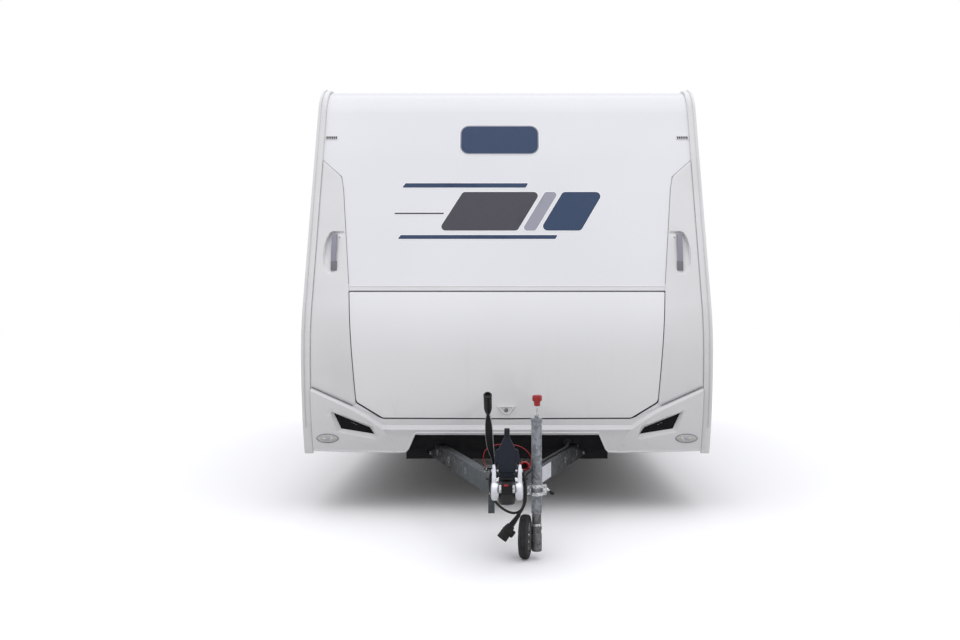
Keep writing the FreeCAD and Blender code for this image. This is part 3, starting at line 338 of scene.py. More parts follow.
MAT = {
    "shell": glossy_white("shell", grime=0.45),
    "side": glossy_white("side_sheet", (0.755, 0.76, 0.775), 0.26, hammered=True),
    "roof": glossy_white("roof_sheet", (0.60, 0.61, 0.625), 0.38, hammered=True, grime=1.6),
    "lid": glossy_white("lid_shell", (0.785, 0.788, 0.79), 0.14, grime=0.8),
    "moulded": moulded_white("moulded_white"),
    "rail": moulded_white("rail_white", (0.69, 0.69, 0.69), 0.32),
    "strip": moulded_white("cover_strip", (0.60, 0.60, 0.61), 0.5),
    "black": plastic("black_plastic", (0.008, 0.008, 0.009), 0.5, spec=0.28),
    "satin_black": plastic("satin_black", (0.006, 0.006, 0.007), 0.36, 600, 0.08, 0.04, spec=0.28),
    "board_black": plastic("board_black", (0.006, 0.006, 0.007), 0.8, spec=0.2),
    "lilac": plastic("grey_lilac", (0.25, 0.25, 0.30), 0.45, 700, 0.1, 0.05),
    "slate": plastic("slate_plastic", (0.009, 0.013, 0.024), 0.45, 800, 0.12, 0.05, spec=0.3),
    "red": plastic("red_plastic", (0.33, 0.010, 0.013), 0.4, 600, 0.08, 0.05, coat=0.2),
    "pane": pane("tinted_acrylic"),
    "dome": pane("frosted_dome", (0.66, 0.67, 0.69), 0.06, 0.32),
    "zinc": zinc("galvanised"),
    "zinc_bright": zinc("zinc_bright", (0.60, 0.62, 0.63), 0.33, 150, 0.4, 0.05),
    "cast": metal("cast_silver", (0.74, 0.75, 0.80), 0.36, stain=0.3, metallic=0.8),
    "chrome": metal("reflector", (0.85, 0.86, 0.88), 0.12),
    "alloy": metal("wheel_silver", (0.60, 0.61, 0.63), 0.28, coat=0.5),
    "alu": metal("anodised", (0.72, 0.72, 0.73), 0.3, (30, 600, 600)),
    "steel_black": plastic("black_paint", (0.014, 0.014, 0.015), 0.42, 300, 0.14, 0.12),
    "tyre": rubber("tyre_rubber"),
    "rubber": rubber("soft_rubber", (0.012, 0.012, 0.013), 0.55, 0.15),
    "under": wood("floor_board", (0.20, 0.16, 0.12), (0.10, 0.08, 0.06), 0.7),
    "wood": wood("furniture_board"),
    "fabric": woven("upholstery"),
    "clear_lens": lens("clear_lens", (0.86, 0.87, 0.88), (500, 500, 500), 0.8, 0.06),
    "red_lens": lens("red_lens", (0.55, 0.02, 0.02)),
    "amber_lens": lens("amber_lens", (0.80, 0.24, 0.02)),
    "navy": plastic("navy_film", (0.017, 0.042, 0.105), 0.42, 900, 0.03, 0.0, coat=0.08),
    "film_grey": plastic("graphite_film", (0.052, 0.050, 0.068), 0.42, 900, 0.03, 0.0, coat=0.08),
    "film_silver": plastic("silver_film", (0.31, 0.31, 0.37), 0.42, 900, 0.03, 0.0, coat=0.08),
    "film_white": plastic("white_film", (0.84, 0.84, 0.85), 0.3, 900, 0.03, 0.0, coat=0.3),
    "seal": plastic("black_seal", (0.012, 0.012, 0.013), 0.7, 500, 0.1, 0.03),
    "grey": plastic("pale_grey_plastic", (0.40, 0.40, 0.41), 0.45, 600, 0.1, 0.04),
    # painted shade: near-black plates that stand for the shade inside the vent openings
    "slot_shade": plastic("slot_shade", (0.020, 0.020, 0.022), 0.8, 500, 0.1, 0.02, spec=0.15),
    "grip_grey": plastic("grip_grey", (0.17, 0.17, 0.19), 0.55, 500, 0.1, 0.05),
    "cell_blue": plastic("reflector_blue", (0.30, 0.32, 0.44), 0.3, 500, 0.05, 0.0, coat=0.6),
    "cell_cream": plastic("reflector_cream", (0.80, 0.78, 0.70), 0.3, 500, 0.05, 0.0, coat=0.6),
    "marker_lens": lens("marker_lens", (0.93, 0.93, 0.91), (500, 500, 500), 0.5, 0.10),
    "dish_white": plastic("dish_white", (0.74, 0.74, 0.70), 0.35, 500, 0.1, 0.0),
    "sealant_and_gap_shade": plastic("sealant_bead_and_gap_shade", (0.20, 0.20, 0.21), 0.6, 500, 0.1, 0.05),
    "piping": plastic("woven_piping", (0.10, 0.10, 0.11), 0.8, 500, 0.25, 0.05),
    "zinc_tube": zinc("galvanised_tube", (0.275, 0.292, 0.318), 0.5, 80, 1.0, 0.18),
    # painted shade: a darkened copy of the galvanised finish for the jockey's lower leg and fork, which stand in shade
    "zinc_leg_shaded": zinc("galvanised_leg_shaded", (0.175, 0.176, 0.180), 0.5, 80, 1.0, 0.25),
    # painted shade: a darkened copy of the galvanised finish for the drawbar beams, which run into the shade under the
    # body
    "zinc_beam_shaded": zinc("galvanised_beam_shaded", (0.094, 0.107, 0.115), 0.55, 60, 1.2, 0.15, body_shade=(-2.45, -1.85)),
    # painted shade: a near-black copy of the galvanised finish for the chassis frame and axle under the body, where the
    # shade falls
    "zinc_under_shaded": zinc("galvanised_frame_shaded", (0.020, 0.021, 0.024), 0.6, 50, 1.2, 0.3),
    "label": plastic("blank_label", (0.62, 0.62, 0.68), 0.5, 600, 0.04, 0.06),
}

NODE_MAT = {
    "floor_panel": "under", "left_wall": "side", "right_wall": "side", "front_wall": "shell", "front_board": "board_black",
    "roof_panel": "roof", "rear_wall": "side", "edge_rails": "rail", "corner_mouldings": "moulded", "front_trims": "moulded",
    "grab_handles": "lilac", "front_bumper": "moulded", "bumper_inserts": "black", "front_lamps": "clear_lens",
    "locker_tub": "black", "side_skirts": "moulded", "wheel_housings": "black", "windows": "pane", "door_frame": "alu",
    "rooflights": "dome", "rear_bumper": "moulded", "rear_lamps": "red_lens", "chassis_frame": "zinc_under_shaded", "drawbar_beams": "zinc_beam_shaded",
    "axle": "zinc_under_shaded", "overrun_housing": "steel_black", "jockey_tube": "zinc_tube", "jockey_crank": "zinc_bright",
    "crank_knob": "red", "jockey_clamp": "zinc_bright", "furniture": "wood", "cushions": "fabric", "dinette_table": "wood",
    "cable_gland": "black", "plug_cable": "rubber", "trailer_plug": "black", "breakaway_cable": "red", "breakaway_ring": "red",
    "bellows": "rubber", "entrance_door": "side", "door_window": "pane", "locker_lid": "lid", "service_hatch": "side",
    "left_tyre": "tyre", "left_rim": "alloy", "right_tyre": "tyre", "right_rim": "alloy", "coupling_head": "cast",
    "stabiliser_handle": "slate", "handbrake_lever": "satin_black", "jockey_leg": "zinc", "jockey_fork": "zinc",
    "jockey_wheel": "tyre", "front_left_steady": "zinc", "front_right_steady": "zinc", "rear_left_steady": "zinc",
    "rear_right_steady": "zinc",
}
# edge rounding added to the carried-over nodes, in metres
NODE_BEVEL = {
    "edge_rails": 0.004, "front_trims": 0.0015, "front_board": 0.002, "side_skirts": 0.003, "rear_bumper": 0.006,
    "door_frame": 0.001, "entrance_door": 0.003, "service_hatch": 0.003, "chassis_frame": 0.0015, "drawbar_beams": 0.0018,
    "axle": 0.004, "overrun_housing": 0.002, "locker_tub": 0.006, "furniture": 0.0015, "dinette_table": 0.006,
    "front_left_steady": 0.002, "front_right_steady": 0.002, "rear_left_steady": 0.002, "rear_right_steady": 0.002,
    "left_rim": 0.002, "right_rim": 0.002, "left_wall": 0.002, "right_wall": 0.002, "jockey_tube": 0.0015,
    "jockey_leg": 0.0015, "cable_gland": 0.0015, "jockey_crank": 0.0015, "wheel_housings": 0.002, "rear_wall": 0.002,
}


def soften(o, width, segments=2, angle=32, weld=False):
    if weld:
        w = o.modifiers.new("weld", "WELD")
        w.merge_threshold = 0.00002
    b = o.modifiers.new("round_edges", "BEVEL")
    b.width = width
    b.segments = segments
    b.limit_method = "ANGLE"
    b.angle_limit = math.radians(angle)
    b.harden_normals = True
    return o


for node, key in NODE_MAT.items():
    o = NODES[node]
    o.data.materials.clear()
    o.data.materials.append(MAT[key])
    if node in NODE_BEVEL:
        soften(o, NODE_BEVEL[node], weld=True)

# ------------------------------------------------------------------- floor


def flat_floor(name, z, half):
    me = bpy.data.meshes.new(name)
    me.from_pydata([(-half, -half, z), (half, -half, z), (half, half, z), (-half, half, z)], [], [(0, 1, 2, 3)])
    o = bpy.data.objects.new(name, me)
    scene.collection.objects.link(o)
    return o


fm = Nodes("pale_floor")
floor = flat_floor("studio_floor", 0.0, 40)
floor.data.materials.append(fm.finish((0.93, 0.93, 0.93), 0.9, spec=0.1))
floor.visible_diffuse = False
floor.visible_glossy = False
floor.visible_transmission = False
bm_ = Nodes("bounce_floor")
bounce = flat_floor("bounce_floor", -0.0015, 40)
bounce.data.materials.append(bm_.finish(bm_.mix(bm_.span(bm_.noise(0.7, 3.0), 0.3, 0.7), (0.70, 0.695, 0.675), (0.66, 0.655, 0.635)), 0.9, spec=0.1))
bounce.visible_camera = False
bounce.visible_shadow = False

# white backdrop all round
cyc = bmesh.new()
bmesh.ops.create_uvsphere(cyc, u_segments=32, v_segments=16, radius=45)
cyc_mesh = bpy.data.meshes.new("white_backdrop")
cyc.to_mesh(cyc_mesh)
cyc.free()
backdrop = bpy.data.objects.new("white_backdrop", cyc_mesh)
scene.collection.objects.link(backdrop)
bd = bpy.data.materials.new("white_backdrop")
bd.use_nodes = True
bd.node_tree.nodes.clear()
bd_out = bd.node_tree.nodes.new("ShaderNodeOutputMaterial")
bd_em = bd.node_tree.nodes.new("ShaderNodeEmission")
bd_em.inputs["Strength"].default_value = 1.0
bd.node_tree.links.new(bd_em.outputs[0], bd_out.inputs[0])
cyc_mesh.materials.append(bd)
for flag in ("visible_diffuse", "visible_glossy", "visible_transmission", "visible_shadow", "visible_volume_scatter"):
    setattr(backdrop, flag, False)

# ------------------------------------------------------- mesh construction


class Build:
    """Collects closed shapes in one mesh and makes one piece of them."""

    def __init__(self, name, mats, body, slot, node=(), bevel=0.0, segs=2, angle=32, smooth=38):
        self.name, self.mats, self.body, self.slot = name, mats if isinstance(mats, (list, tuple)) else [mats], body, slot
        self.node = (node,) if isinstance(node, str) else tuple(node)
        self.bevel, self.segs, self.angle, self.smooth = bevel, segs, angle, smooth
        self.bm = bmesh.new()
        self.turn = None

    def faces(self, verts, faces, m=0):
        if self.turn is not None:
            verts = [self.turn @ Vector(v) for v in verts]
        vs = [self.bm.verts.new(v) for v in verts]
        made = []
        for f in faces:
            face = self.bm.faces.new([vs[i] for i in f])
            face.material_index = m
            made.append(face)
        return made

    def box(self, lo, hi, m=0):
        x0, y0, z0 = lo
        x1, y1, z1 = hi
        v = [(x0, y0, z0), (x1, y0, z0), (x1, y1, z0), (x0, y1, z0), (x0, y0, z1), (x1, y0, z1), (x1, y1, z1), (x0, y1, z1)]
        return self.faces(v, [(0, 3, 2, 1), (4, 5, 6, 7), (0, 1, 5, 4), (1, 2, 6, 5), (2, 3, 7, 6), (3, 0, 4, 7)], m)

    def lathe(self, profile, base, direction, m=0, segs=32, closed=False):
        """profile: (distance along direction, radius) pairs; zero radius ends close on the axis."""
        d = Vector(direction).normalized()
        u = d.orthogonal().normalized()
        w = d.cross(u)
        base = Vector(base)
        verts, rows = [], []
        for h, r in profile:
            if r < 1e-7:
                rows.append([len(verts)])
                verts.append(base + d * h)
            else:
                rows.append(list(range(len(verts), len(verts) + segs)))
                for k in range(segs):
                    a = 2 * math.pi * k / segs
                    verts.append(base + d * h + (u * math.cos(a) + w * math.sin(a)) * r)
        faces = []
        pairs = list(zip(rows, rows[1:]))
        if closed:
            pairs.append((rows[-1], rows[0]))
        for a, b in pairs:
            for k in range(segs):
                k2 = (k + 1) % segs
                if len(a) == 1 and len(b) == 1:
                    continue
                if len(a) == 1:
                    faces.append((a[0], b[k2], b[k]))
                elif len(b) == 1:
                    faces.append((a[k], a[k2], b[0]))
                else:
                    faces.append((a[k], a[k2], b[k2], b[k]))
        if not closed:
            if len(rows[0]) > 1:
                faces.append(tuple(reversed(rows[0])))
            if len(rows[-1]) > 1:
                faces.append(tuple(rows[-1]))
        return self.faces(verts, faces, m)

    def cyl(self, a, b, r, m=0, segs=24, r2=None):
        a, b = Vector(a), Vector(b)
        return self.lathe([(0, r), ((b - a).length, r if r2 is None else r2)], a, b - a, m, segs)

    def torus(self, centre, direction, R, r, m=0, segs=40, ring=14):
        prof = [(r * math.sin(2 * math.pi * k / ring), R + r * math.cos(2 * math.pi * k / ring)) for k in range(ring)]
        return self.lathe(prof, centre, direction, m, segs, closed=True)

    def loft(self, rings, m=0, caps=True):
        """Rings of equal count, joined in order."""
        verts = [v for ring in rings for v in ring]
        n = len(rings[0])
        faces = []
        for i in range(len(rings) - 1):
            for k in range(n):
                k2 = (k + 1) % n
                faces.append((i * n + k, i * n + k2, (i + 1) * n + k2, (i + 1) * n + k))
        if caps:
            faces.append(tuple(reversed(range(n))))
            faces.append(tuple(range((len(rings) - 1) * n, len(rings) * n)))
        return self.faces(verts, faces, m)

    def prism(self, loop, axis, a, b, m=0, inset=0.0):
        """2D loop pulled from a to b along an axis. X takes (y, z), Y takes (x, z), Z takes (x, y)."""
        def place(p, t):
            return {"X": (t, p[0], p[1]), "Y": (p[0], t, p[1]), "Z": (p[0], p[1], t)}[axis]
        return self.loft([[place(p, a) for p in loop], [place(p, b) for p in loop]], m)

    def sweep(self, path, section, m=0, up=(0, 0, 1), caps=True, scales=None):
        """Section (list of (side, up) offsets) carried along a path of points."""
        pts = [Vector(p) for p in path]
        rings = []
        upv = Vector(up)
        for i, p in enumerate(pts):
            t = (pts[min(i + 1, len(pts) - 1)] - pts[max(i - 1, 0)]).normalized()
            s = t.cross(upv)
            s = s.normalized() if s.length > 1e-6 else Vector((1, 0, 0))
            n = s.cross(t).normalized()
            k = scales[i] if scales else 1.0
            rings.append([p + s * (a * k) + n * (b * k) for a, b in section])
        return self.loft(rings, m, caps)

    def done(self):
        bm = self.bm
        bmesh.ops.recalc_face_normals(bm, faces=bm.faces)
        me = bpy.data.meshes.new(self.name)
        bm.to_mesh(me)
        bm.free()
        for mt in self.mats:
            me.materials.append(MAT[mt] if isinstance(mt, str) else mt)
        me.polygons.foreach_set("use_smooth", [True] * len(me.polygons))
        me.set_sharp_from_angle(angle=math.radians(self.smooth))
        o = bpy.data.objects.new(self.name, me)
        scene.collection.objects.link(o)
        if self.bevel:
            soften(o, self.bevel, self.segs, self.angle)
        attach(o, self.body)
        if self.node:
            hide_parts(*self.node)
        return o


def circle(r, n=16, sx=1.0, sy=1.0):
    return [(r * sx * math.cos(2 * math.pi * k / n), r * sy * math.sin(2 * math.pi * k / n)) for k in range(n)]


def round_rect(w, h, r, n=4):
    out = []
    for cx, cy, a0 in ((w / 2 - r, h / 2 - r, 0), (-w / 2 + r, h / 2 - r, 90), (-w / 2 + r, -h / 2 + r, 180), (w / 2 - r, -h / 2 + r, 270)):
        for k in range(n + 1):
            a = math.radians(a0 + 90 * k / n)
            out.append((cx + r * math.cos(a), cy + r * math.sin(a)))
    return out


def rounded_loop(points, radius, n=5):
    """Polygon with its corners rounded; radius is one number or one per corner."""
    out = []
    c = len(points)
    for i in range(c):
        p, a, b = Vector(points[i]), Vector(points[i - 1]), Vector(points[(i + 1) % c])
        r = radius[i] if hasattr(radius, "__len__") else radius
        u, w = (a - p), (b - p)
        lu, lw = u.length, w.length
        u.normalize()
        w.normalize()
        half = u.angle(w) / 2
        t = min(r / math.tan(half), 0.45 * lu, 0.45 * lw)
        if r <= 0 or t < 1e-6:
            out.append(tuple(p))
            continue
        rr = t * math.tan(half)
        s, e = p + u * t, p + w * t
        bis = (u + w).normalized()
        ctr = p + bis * math.hypot(t, rr)
        va, ve = s - ctr, e - ctr
        tot = va.angle(ve)
        sgn = 1 if va.x * ve.y - va.y * ve.x > 0 else -1
        for k in range(n + 1):
            ang = sgn * tot * k / n
            out.append((ctr.x + va.x * math.cos(ang) - va.y * math.sin(ang), ctr.y + va.x * math.sin(ang) + va.y * math.cos(ang)))
    return out


# ---------------------------------------------------- the nose of the body
NOSE_Y = -1.81
WAIST = 0.904
LOW_R, MID_R, BROW_R = 1.732, 0.765, 0.25
BROW_Y, BROW_Z = NOSE_Y + 0.7214, 2.258
SL = math.radians(20.5)


def nose_y(z, off=0.0):
    """Y of the nose surface at height z, off metres proud of it."""
    if z <= WAIST:
        return NOSE_Y + LOW_R - math.sqrt((LOW_R + off) ** 2 - (z - WAIST) ** 2)
    z2 = WAIST + (MID_R + off) * math.sin(SL)
    if z <= z2:
        return NOSE_Y + MID_R - math.sqrt((MID_R + off) ** 2 - (z - WAIST) ** 2)
    y2 = NOSE_Y + MID_R - (MID_R + off) * math.cos(SL)
    z3 = BROW_Z + (BROW_R + off) * math.sin(SL)
    if z <= z3:
        return y2 + (z - z2) * math.tan(SL)
    return BROW_Y - math.sqrt(max(0.0, (BROW_R + off) ** 2 - (z - BROW_Z) ** 2))


def nose_point(x, z, off=0.0):
    return Vector((x, nose_y(z, off), z))


def inside(p, loop):
    x, y = p
    hit = False
    j = len(loop) - 1
    for i in range(len(loop)):
        xi, yi = loop[i]
        xj, yj = loop[j]
        if (yi > y) != (yj > y) and x < (xj - xi) * (y - yi) / (yj - yi) + xi:
            hit = not hit
        j = i
    return hit


def edge_distance(p, loop, closed=True):
    best = 1e9
    px, py = p
    n = len(loop)
    for i in range(n if closed else n - 1):
        ax, ay = loop[i]
        bx, by = loop[(i + 1) % n]
        dx, dy = bx - ax, by - ay
        L = dx * dx + dy * dy
        t = 0 if L == 0 else max(0, min(1, ((px - ax) * dx + (py - ay) * dy) / L))
        best = min(best, math.hypot(px - ax - t * dx, py - ay - t * dy))
    return best


def split_loop(loop, step, closed=True):
    out = []
    n = len(loop)
    for i in range(n if closed else n - 1):
        a, b = loop[i], loop[(i + 1) % n]
        k = max(1, int(math.ceil(math.hypot(b[0] - a[0], b[1] - a[1]) / step)))
        out += [(a[0] + (b[0] - a[0]) * j / k, a[1] + (b[1] - a[1]) * j / k) for j in range(k)]
    if not closed:
        out.append(loop[-1])
    return out


def nose_sheet(name, outline, height, base, mat, body, node=(), holes=(), creases=(), bare=(), step=0.015,
               bevel=0.0, smooth=30, zstep=None, segs=2):
    """Panel over the nose inside an outline of (x, z); height gives how proud each point stands."""
    zstep = zstep or step
    hfun = height if callable(height) else (lambda x, z: height)
    bfun = base if callable(base) else (lambda x, z: base)
    pts, edges = [], []

    def add(path, closed):
        path = split_loop(path, min(step, zstep) * 1.2, closed)
        first = len(pts)
        pts.extend(path)
        for i in range(len(path) - (0 if closed else 1)):
            edges.append((first + i, first + (i + 1) % len(path)))

    add(outline, True)
    for hole in holes:
        add(hole, True)
    for crease in creases:
        add(crease, False)
    lines = [(outline, True)] + [(hh, True) for hh in holes] + [(c, False) for c in creases]
    xs, zs = [p[0] for p in outline], [p[1] for p in outline]
    z, row = min(zs) + zstep / 2, 0
    while z < max(zs):
        x = min(xs) + (step / 2 if row % 2 else step)
        while x < max(xs):
            if inside((x, z), outline) and not any(inside((x, z), hh) for hh in holes) and not any(inside((x, z), q) for q in bare):
                if min(edge_distance((x, z), lp, cl) for lp, cl in lines) > 0.38 * min(step, zstep):
                    pts.append((x, z))
            x += step
        z += zstep
        row += 1
    res = geometry.delaunay_2d_cdt([Vector(p) for p in pts], edges, [], 0, 1e-6)
    co, tris = [tuple(v) for v in res[0]], res[2]
    keep = []
    for t in tris:
        c = (sum(co[i][0] for i in t) / len(t), sum(co[i][1] for i in t) / len(t))
        if inside(c, outline) and not any(inside(c, hh) for hh in holes):
            keep.append(tuple(t))
    bm = bmesh.new()
    used = sorted({i for t in keep for i in t})
    top = {i: bm.verts.new(nose_point(co[i][0], co[i][1], hfun(*co[i]))) for i in used}
    low = {i: bm.verts.new(nose_point(co[i][0], co[i][1], bfun(*co[i]))) for i in used}
    count = {}
    for t in keep:
        bm.faces.new([top[i] for i in t])
        bm.faces.new([low[i] for i in reversed(t)])
        for a, b in zip(t, t[1:] + t[:1]):
            count[(a, b)] = count.get((a, b), 0) + 1
    for (a, b) in list(count):
        if (b, a) not in count:
            bm.faces.new([top[b], top[a], low[a], low[b]])
    bmesh.ops.recalc_face_normals(bm, faces=bm.faces)
    me = bpy.data.meshes.new(name)
    bm.to_mesh(me)
    bm.free()
    me.materials.append(MAT[mat])
    me.polygons.foreach_set("use_smooth", [True] * len(me.polygons))
    me.set_sharp_from_angle(angle=math.radians(smooth))
    o = bpy.data.objects.new(name, me)
    scene.collection.objects.link(o)
    if bevel:
        soften(o, bevel, segs, 42)
    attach(o, body)
    if node:
        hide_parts(*((node,) if isinstance(node, str) else node))
    return o


def flip(loop):
    return [(-x, z) for x, z in reversed(loop)]


def smooth_step(a, b, v):
    t = max(0.0, min(1.0, (v - a) / (b - a)))
    return t * t * (3 - 2 * t)


def mix(a, b, t):
    return a + (b - a) * t

# ------------------------------------------------------------------- cords
MM = 0.001
PLUG_ROUTE = [
    (342, -1762, 390), (341, -1838, 387), (306, -1930, 378), (275, -2022, 379), (249, -2120, 378),
    (211, -2222, 379), (186, -2322, 378), (153, -2420, 379), (132, -2515, 379), (110, -2600, 380),
    (92, -2680, 387), (84, -2764, 389), (80, -2846, 385), (79, -2888, 336), (77, -2912, 287),
    (64, -2924, 256), (36, -2931, 244), (2, -2932, 252), (-33, -2926, 274), (-62, -2914, 306),
    (-78, -2897, 350), (-77, -2878, 406), (-50, -2862, 458), (0, -2856, 486), (50, -2866, 462),
    (78, -2888, 406), (86, -2915, 340), (80, -2939, 278), (49, -2946, 237),
]
PULL_ROUTE = [
    (-98, -2600, 384), (-107, -2600, 412), (-114, -2599, 446), (-102, -2598, 478), (-68, -2598, 496),
    (-22, -2599, 503), (27, -2600, 501), (70, -2602, 490), (103, -2604, 464), (121, -2605, 428),
    (106.5, -2604, 402),
]


def cord_curve(name, route, radius, mat, body, node):
    cu = bpy.data.curves.new(name, "CURVE")
    cu.dimensions = "3D"
    cu.bevel_depth = radius
    cu.bevel_resolution = 5
    cu.resolution_u = 10
    cu.use_fill_caps = True
    sp = cu.splines.new("NURBS")
    sp.points.add(len(route) - 1)
    for p, q in zip(sp.points, route):
        p.co = (q[0] * MM, q[1] * MM, q[2] * MM, 1.0)
    sp.order_u = 3
    sp.use_endpoint_u = True
    o = bpy.data.objects.new(name, cu)
    scene.collection.objects.link(o)
    cu.materials.append(MAT[mat])
    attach(o, body)
    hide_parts(node)
    return o


def spline_points(o):
    """Points of a cord's own spline, read from Blender."""
    cu = o.data.copy()
    cu.bevel_depth = 0.0
    tmp = bpy.data.objects.new("tmp_line", cu)
    scene.collection.objects.link(tmp)
    dg = bpy.context.evaluated_depsgraph_get()
    me = bpy.data.meshes.new_from_object(tmp.evaluated_get(dg))
    pts = [v.co.copy() for v in me.vertices]
    bpy.data.objects.remove(tmp)
    bpy.data.curves.remove(cu)
    bpy.data.meshes.remove(me)
    return pts


plug_lead = cord_curve("plug_lead", PLUG_ROUTE, 0.0055, "rubber", "body", "plug_cable")
pull_cord = cord_curve("pull_cord", PULL_ROUTE, 0.0020, "red", "body", "breakaway_cable")

# strain relief at the gland
g = Vector((0.342, -1.762, 0.390))
b = Build("lead_gland", ["black"], "body", "black_plastic", "cable_gland", bevel=0.0008)
b.lathe([(0.0, 0.0215), (0.004, 0.0215), (0.006, 0.0185), (0.014, 0.0180), (0.016, 0.0125), (0.022, 0.0105), (0.028, 0.0098),
         (0.036, 0.0088), (0.044, 0.0078), (0.052, 0.0066), (0.058, 0.0060)],
        (0.342, nose_y(0.39, -0.003) - 0.0, 0.390), (0, -1, -0.01), 0, 28)
for k in range(10):
    a = 2 * math.pi * k / 10
    b.lathe([(0.006, 0.0024), (0.0145, 0.0024)],
            (0.342 + 0.0178 * math.cos(a), nose_y(0.39, -0.003), 0.390 + 0.0178 * math.sin(a)), (0, -1, 0), 0, 8)
lead_gland = b.done()

# trailer plug: ribbed boot, body with flats, cap lugs and the bayonet lump
line = spline_points(plug_lead)
pe = Vector(PLUG_ROUTE[-1]) * MM
pd = (Vector(PLUG_ROUTE[-1]) - Vector(PLUG_ROUTE[-2])).normalized()
b = Build("lead_plug", ["black", "satin_black"], "body", "black_plastic", "trailer_plug", bevel=0.0006)
boot = [(-0.012, 0.0064), (-0.008, 0.0080)]
h = 0.0
for k in range(6):
    r = 0.0082 + 0.0008 * k
    boot += [(h, r + 0.0012), (h + 0.0050, r + 0.0014), (h + 0.0056, r), (h + 0.0078, r + 0.0002)]
    h += 0.0082
boot += [(0.050, 0.0150), (0.052, 0.0178), (0.058, 0.0190), (0.066, 0.0212), (0.072, 0.0222), (0.075, 0.0228), (0.0765, 0.0240), (0.084, 0.0240),
         (0.085, 0.0226), (0.098, 0.0226), (0.099, 0.0236), (0.120, 0.0236), (0.1225, 0.0225), (0.1225, 0.0195), (0.1120, 0.0190), (0.1120, 0.0)]
b.lathe([(a, r) for a, r in boot[:-1]] + [(0.1120, 0.0)], pe, pd, 0, 36)
side_dir = pd.cross(Vector((0, 1, 0))).normalized()
if side_dir.x < 0:
    side_dir = -side_dir
fwd = pd.cross(side_dir)
# grip ribs round the collar
for k in range(18):
    a = 2 * math.pi * k / 18
    rad = (side_dir * math.cos(a) + fwd * math.sin(a))
    p0 = pe + pd * 0.0865 + rad * 0.0222
    b.cyl(p0, p0 + pd * 0.0105, 0.0016, 0, 8)
# locking lug and its hinge seen beside the plug
lug = pe + pd * 0.078 + side_dir * 0.0255
b.lathe([(-0.016, 0.004), (-0.015, 0.0078), (-0.010, 0.0095), (0.010, 0.0095), (0.015, 0.0082), (0.017, 0.004)], lug, pd, 1, 18)
b.cyl(pe + pd * 0.070 + side_dir * 0.018, pe + pd * 0.070 + side_dir * 0.031, 0.0052, 1, 14)
b.cyl(pe + pd * 0.088 + side_dir * 0.018, pe + pd * 0.088 + side_dir * 0.029, 0.0045, 1, 14)
# contact pins in the open end
for k in range(12):
    a = 2 * math.pi * k / 12
    p0 = pe + pd * 0.1115 + (side_dir * math.cos(a) + fwd * math.sin(a)) * 0.0125
    b.cyl(p0, p0 + pd * 0.0075, 0.0014, 1, 8)
b.cyl(pe + pd * 0.1115, pe + pd * 0.1205, 0.0035, 1, 12)
lead_plug = b.done()

# pull ring with a flat tag eye
b = Build("pull_ring", ["red", "board_black"], "body", "red_plastic", "breakaway_ring")
rc = Vector((0.084, -2.604, 0.398))
b.torus(rc, (0, 1, 0), 0.0185, 0.0062, 0, 56, 18)
b.lathe([(0.0006, 0.0), (0.0006, 0.0155), (0.0030, 0.0155), (0.0030, 0.0)], rc, (0, 1, 0), 1, 40)
b.torus(rc + Vector((0, -0.0035, 0)), (0, 1, 0), 0.0185, 0.0042, 0, 56, 12)
b.lathe([(-0.004, 0.0045), (-0.003, 0.0062), (0.003, 0.0062), (0.004, 0.0045)], rc + Vector((0.0222, 0, 0.0038)), (0, 1, 0), 0, 18)
b.cyl(Vector((0.1035, -2.604, 0.4005)), Vector((0.112, -2.6042, 0.412)), 0.0034, 0, 12, r2=0.0026)
pull_ring = b.done()

b = Build("pull_anchor", ["zinc_bright"], "body", "galvanised")
b.cyl((-0.098, -2.600, 0.368), (-0.098, -2.600, 0.374), 0.012, 0, 6)
b.torus((-0.098, -2.600, 0.383), (1, 0, 0), 0.0058, 0.0018, 0, 24, 8)
b.done()

# ------------------------------------------------------------ front corners
CORNER = [(-1.097, 2.031), (-0.982, 1.929), (-0.966, 1.847), (-0.901, 1.2865), (-0.850, 0.620), (-0.861, 0.603), (-1.097, 0.712)]
# hand grip recess: sharp along its outer arc and its top, fading out to the inside and below
GRIP_EDGE = [(-0.950, 1.597), (-1.010, 1.597), (-1.026, 1.588), (-1.044, 1.553), (-1.054, 1.510), (-1.058, 1.456), (-1.053, 1.405),
             (-1.041, 1.368), (-1.026, 1.352)]
GRIP_AREA = [(-0.9475, 1.595), (-1.010, 1.595), (-1.026, 1.586), (-1.042, 1.552), (-1.052, 1.510), (-1.056, 1.456), (-1.051, 1.405),
             (-1.039, 1.368), (-1.024, 1.353), (-0.9475, 1.353)]
CORNER_LOOP = rounded_loop(CORNER, [0.004, 0.060, 0.080, 0.30, 0.012, 0.006, 0.004], 8)


def corner_height(x, z):
    x = -abs(x)
    edge = min(1.0, edge_distance((x, z), CORNER) / 0.006)
    o = 0.0055 + 0.0025 * math.sqrt(max(0.0, 1 - (1 - edge) ** 2))
    if not inside((x, z), GRIP_AREA):
        return o
    arc = edge_distance((x, z), GRIP_EDGE, False)
    steep = smooth_step(0.0, 0.011, arc)
    across = 1 - smooth_step(-1.035, -0.949, x)
    down = smooth_step(1.353, 1.53, z)
    top = smooth_step(1.56, 1.597, z)
    depth = 0.0265 * max(across * (0.25 + 0.75 * down), 0.92 * top * (1 - 0.55 * smooth_step(-1.0, -0.9475, x)))
    return o - min(depth, 0.0265) * steep


